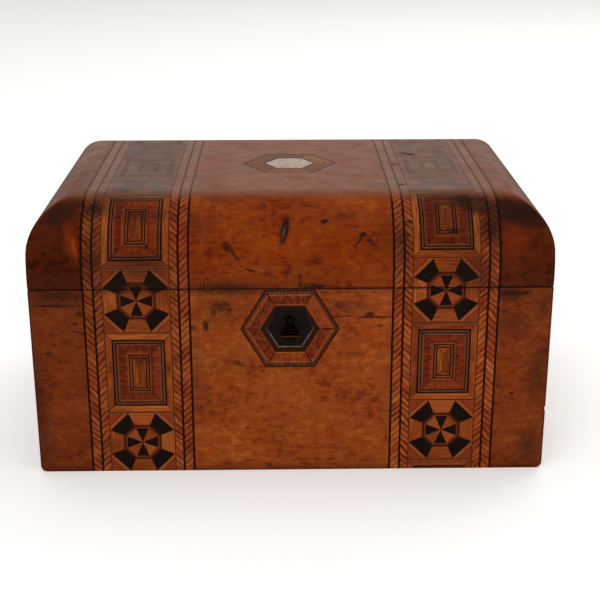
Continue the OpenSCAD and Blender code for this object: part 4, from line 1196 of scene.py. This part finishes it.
class SetStudio(bpy.types.Operator):
    """Floor, backdrop, soft lights and the camera"""

    bl_idname = "workbox.studio"
    bl_label = "Set the studio"

    def execute(self, context):
        looks = context.scene.work_box_studio
        deselect()
        floor = self.sheet("floor", (16, 16), (0, 0, 0), (0, 0, 0), looks.floor, 0.25)
        floor.visible_glossy = False
        self.sheet("backdrop", (12, 3.6), (0, 4.2, 1.8), (math.radians(90), 0, 0),
                   (0.2, 0.2, 0.2), looks.backdrop_light)
        self.lamp("key_light", (-0.7, -1.7, 1.5), 1.4, looks.key_power, (1.0, 0.97, 0.93))
        self.lamp("fill_light", (1.1, 1.5, 1.6), 1.6, looks.fill_power, (1.0, 0.98, 0.95))
        self.lamp("top_light", (0, 0.1, 2.2), 2.4, looks.top_power, (1.0, 1.0, 1.0))
        self.room(context.scene, looks.room_light)
        self.camera(context.scene, looks)
        context.scene.view_settings.view_transform = "Standard"
        return {"FINISHED"}

    def lamp(self, name, place, size, power, colour):
        """A square light that is aimed at the middle of the box."""
        bpy.ops.object.light_add(type="AREA", location=place)
        lamp = bpy.context.object
        lamp.name = name
        lamp.data.shape = "SQUARE"
        lamp.data.size = size
        lamp.data.energy = power
        lamp.data.color = colour
        aim = Vector((0, 0, 0.07)) - Vector(place)
        lamp.rotation_euler = aim.to_track_quat("-Z", "Y").to_euler()
        lamp.visible_glossy = False

    def sheet(self, name, size, place, turn, colour, light):
        """A flat piece of the stage that gives off a little light."""
        bpy.ops.mesh.primitive_plane_add(size=1, location=place, rotation=turn)
        sheet = bpy.context.object
        sheet.name = name
        sheet.scale = (*size, 1)
        material, inputs = new_material(name)
        put(inputs["Base Color"], colour)
        put(inputs["Roughness"], 0.9)
        put(inputs["Emission Color"], (1.0, 0.98, 0.93))
        put(inputs["Emission Strength"], light)
        sheet.data.materials.append(material)
        return sheet

    def room(self, scene, light):
        """Even white light all round, of which reflections see only a quarter."""
        world = bpy.data.worlds.new("room")
        scene.world = world
        world.use_nodes = True
        world.cycles.sampling_method = "NONE"
        tree = world.node_tree
        background = tree.nodes["Background"]
        put(background.inputs["Color"], (1, 1, 1))
        paths = tree.nodes.new("ShaderNodeLightPath")
        strength = tree.nodes.new("ShaderNodeMapRange")
        put(strength.inputs["To Min"], light)
        put(strength.inputs["To Max"], light * 0.25)
        tree.links.new(paths.outputs["Is Glossy Ray"], strength.inputs["Value"])
        tree.links.new(strength.outputs[0], background.inputs["Strength"])

    def camera(self, scene, looks):
        """Turns to the right from straight ahead, then falls, then rolls."""
        turn, fall, roll = looks.camera_turn
        ahead = Vector((math.sin(turn) * math.cos(fall), math.cos(turn) * math.cos(fall),
                        -math.sin(fall)))
        level = Vector((math.cos(turn), -math.sin(turn), 0))
        upright = level.cross(ahead)
        right = level * math.cos(roll) + upright * math.sin(roll)
        up = upright * math.cos(roll) - level * math.sin(roll)
        bpy.ops.object.camera_add(location=looks.camera_place)
        camera = bpy.context.object
        camera.rotation_euler = Matrix((right, up, -ahead)).transposed().to_euler()
        camera.data.lens = looks.lens
        camera.data.sensor_width = 36
        camera.data.clip_start = 0.01
        scene.camera = camera


class WorkBoxPanel(bpy.types.Panel):
    """Sizes, colours and steps of the work box"""

    bl_idname = "VIEW3D_PT_work_box"
    bl_label = "Work box"
    bl_space_type = "VIEW_3D"
    bl_region_type = "UI"
    bl_category = "Work box"

    def draw(self, context):
        for group in (context.scene.work_box, context.scene.work_box_studio):
            box = self.layout.box()
            for name in group.bl_rna.properties.keys():
                if name not in ("rna_type", "name"):
                    box.prop(group, name)
        for step in STEPS:
            self.layout.operator(step.bl_idname)


STEPS = (SetStudio, DressVeneers, DressParquetry, DressEscutcheon, DressPlaque, DressCarcase,
         DressLock, DressHinges)
CLASSES = (WorkBoxLooks, StudioLooks, *STEPS, WorkBoxPanel)


def register():
    for cls in CLASSES:
        bpy.utils.register_class(cls)
    bpy.types.Scene.work_box = PointerProperty(type=WorkBoxLooks)
    bpy.types.Scene.work_box_studio = PointerProperty(type=StudioLooks)


def unregister():
    del bpy.types.Scene.work_box
    del bpy.types.Scene.work_box_studio
    for cls in reversed(CLASSES):
        bpy.utils.unregister_class(cls)


def main():
    register()
    bpy.ops.workbox.studio()
    bpy.ops.workbox.veneers()
    bpy.ops.workbox.parquetry()
    bpy.ops.workbox.escutcheon()
    bpy.ops.workbox.plaque()
    bpy.ops.workbox.carcase()
    bpy.ops.workbox.lock()
    bpy.ops.workbox.hinges()
    deselect()


if __name__ == "__main__":
    main()
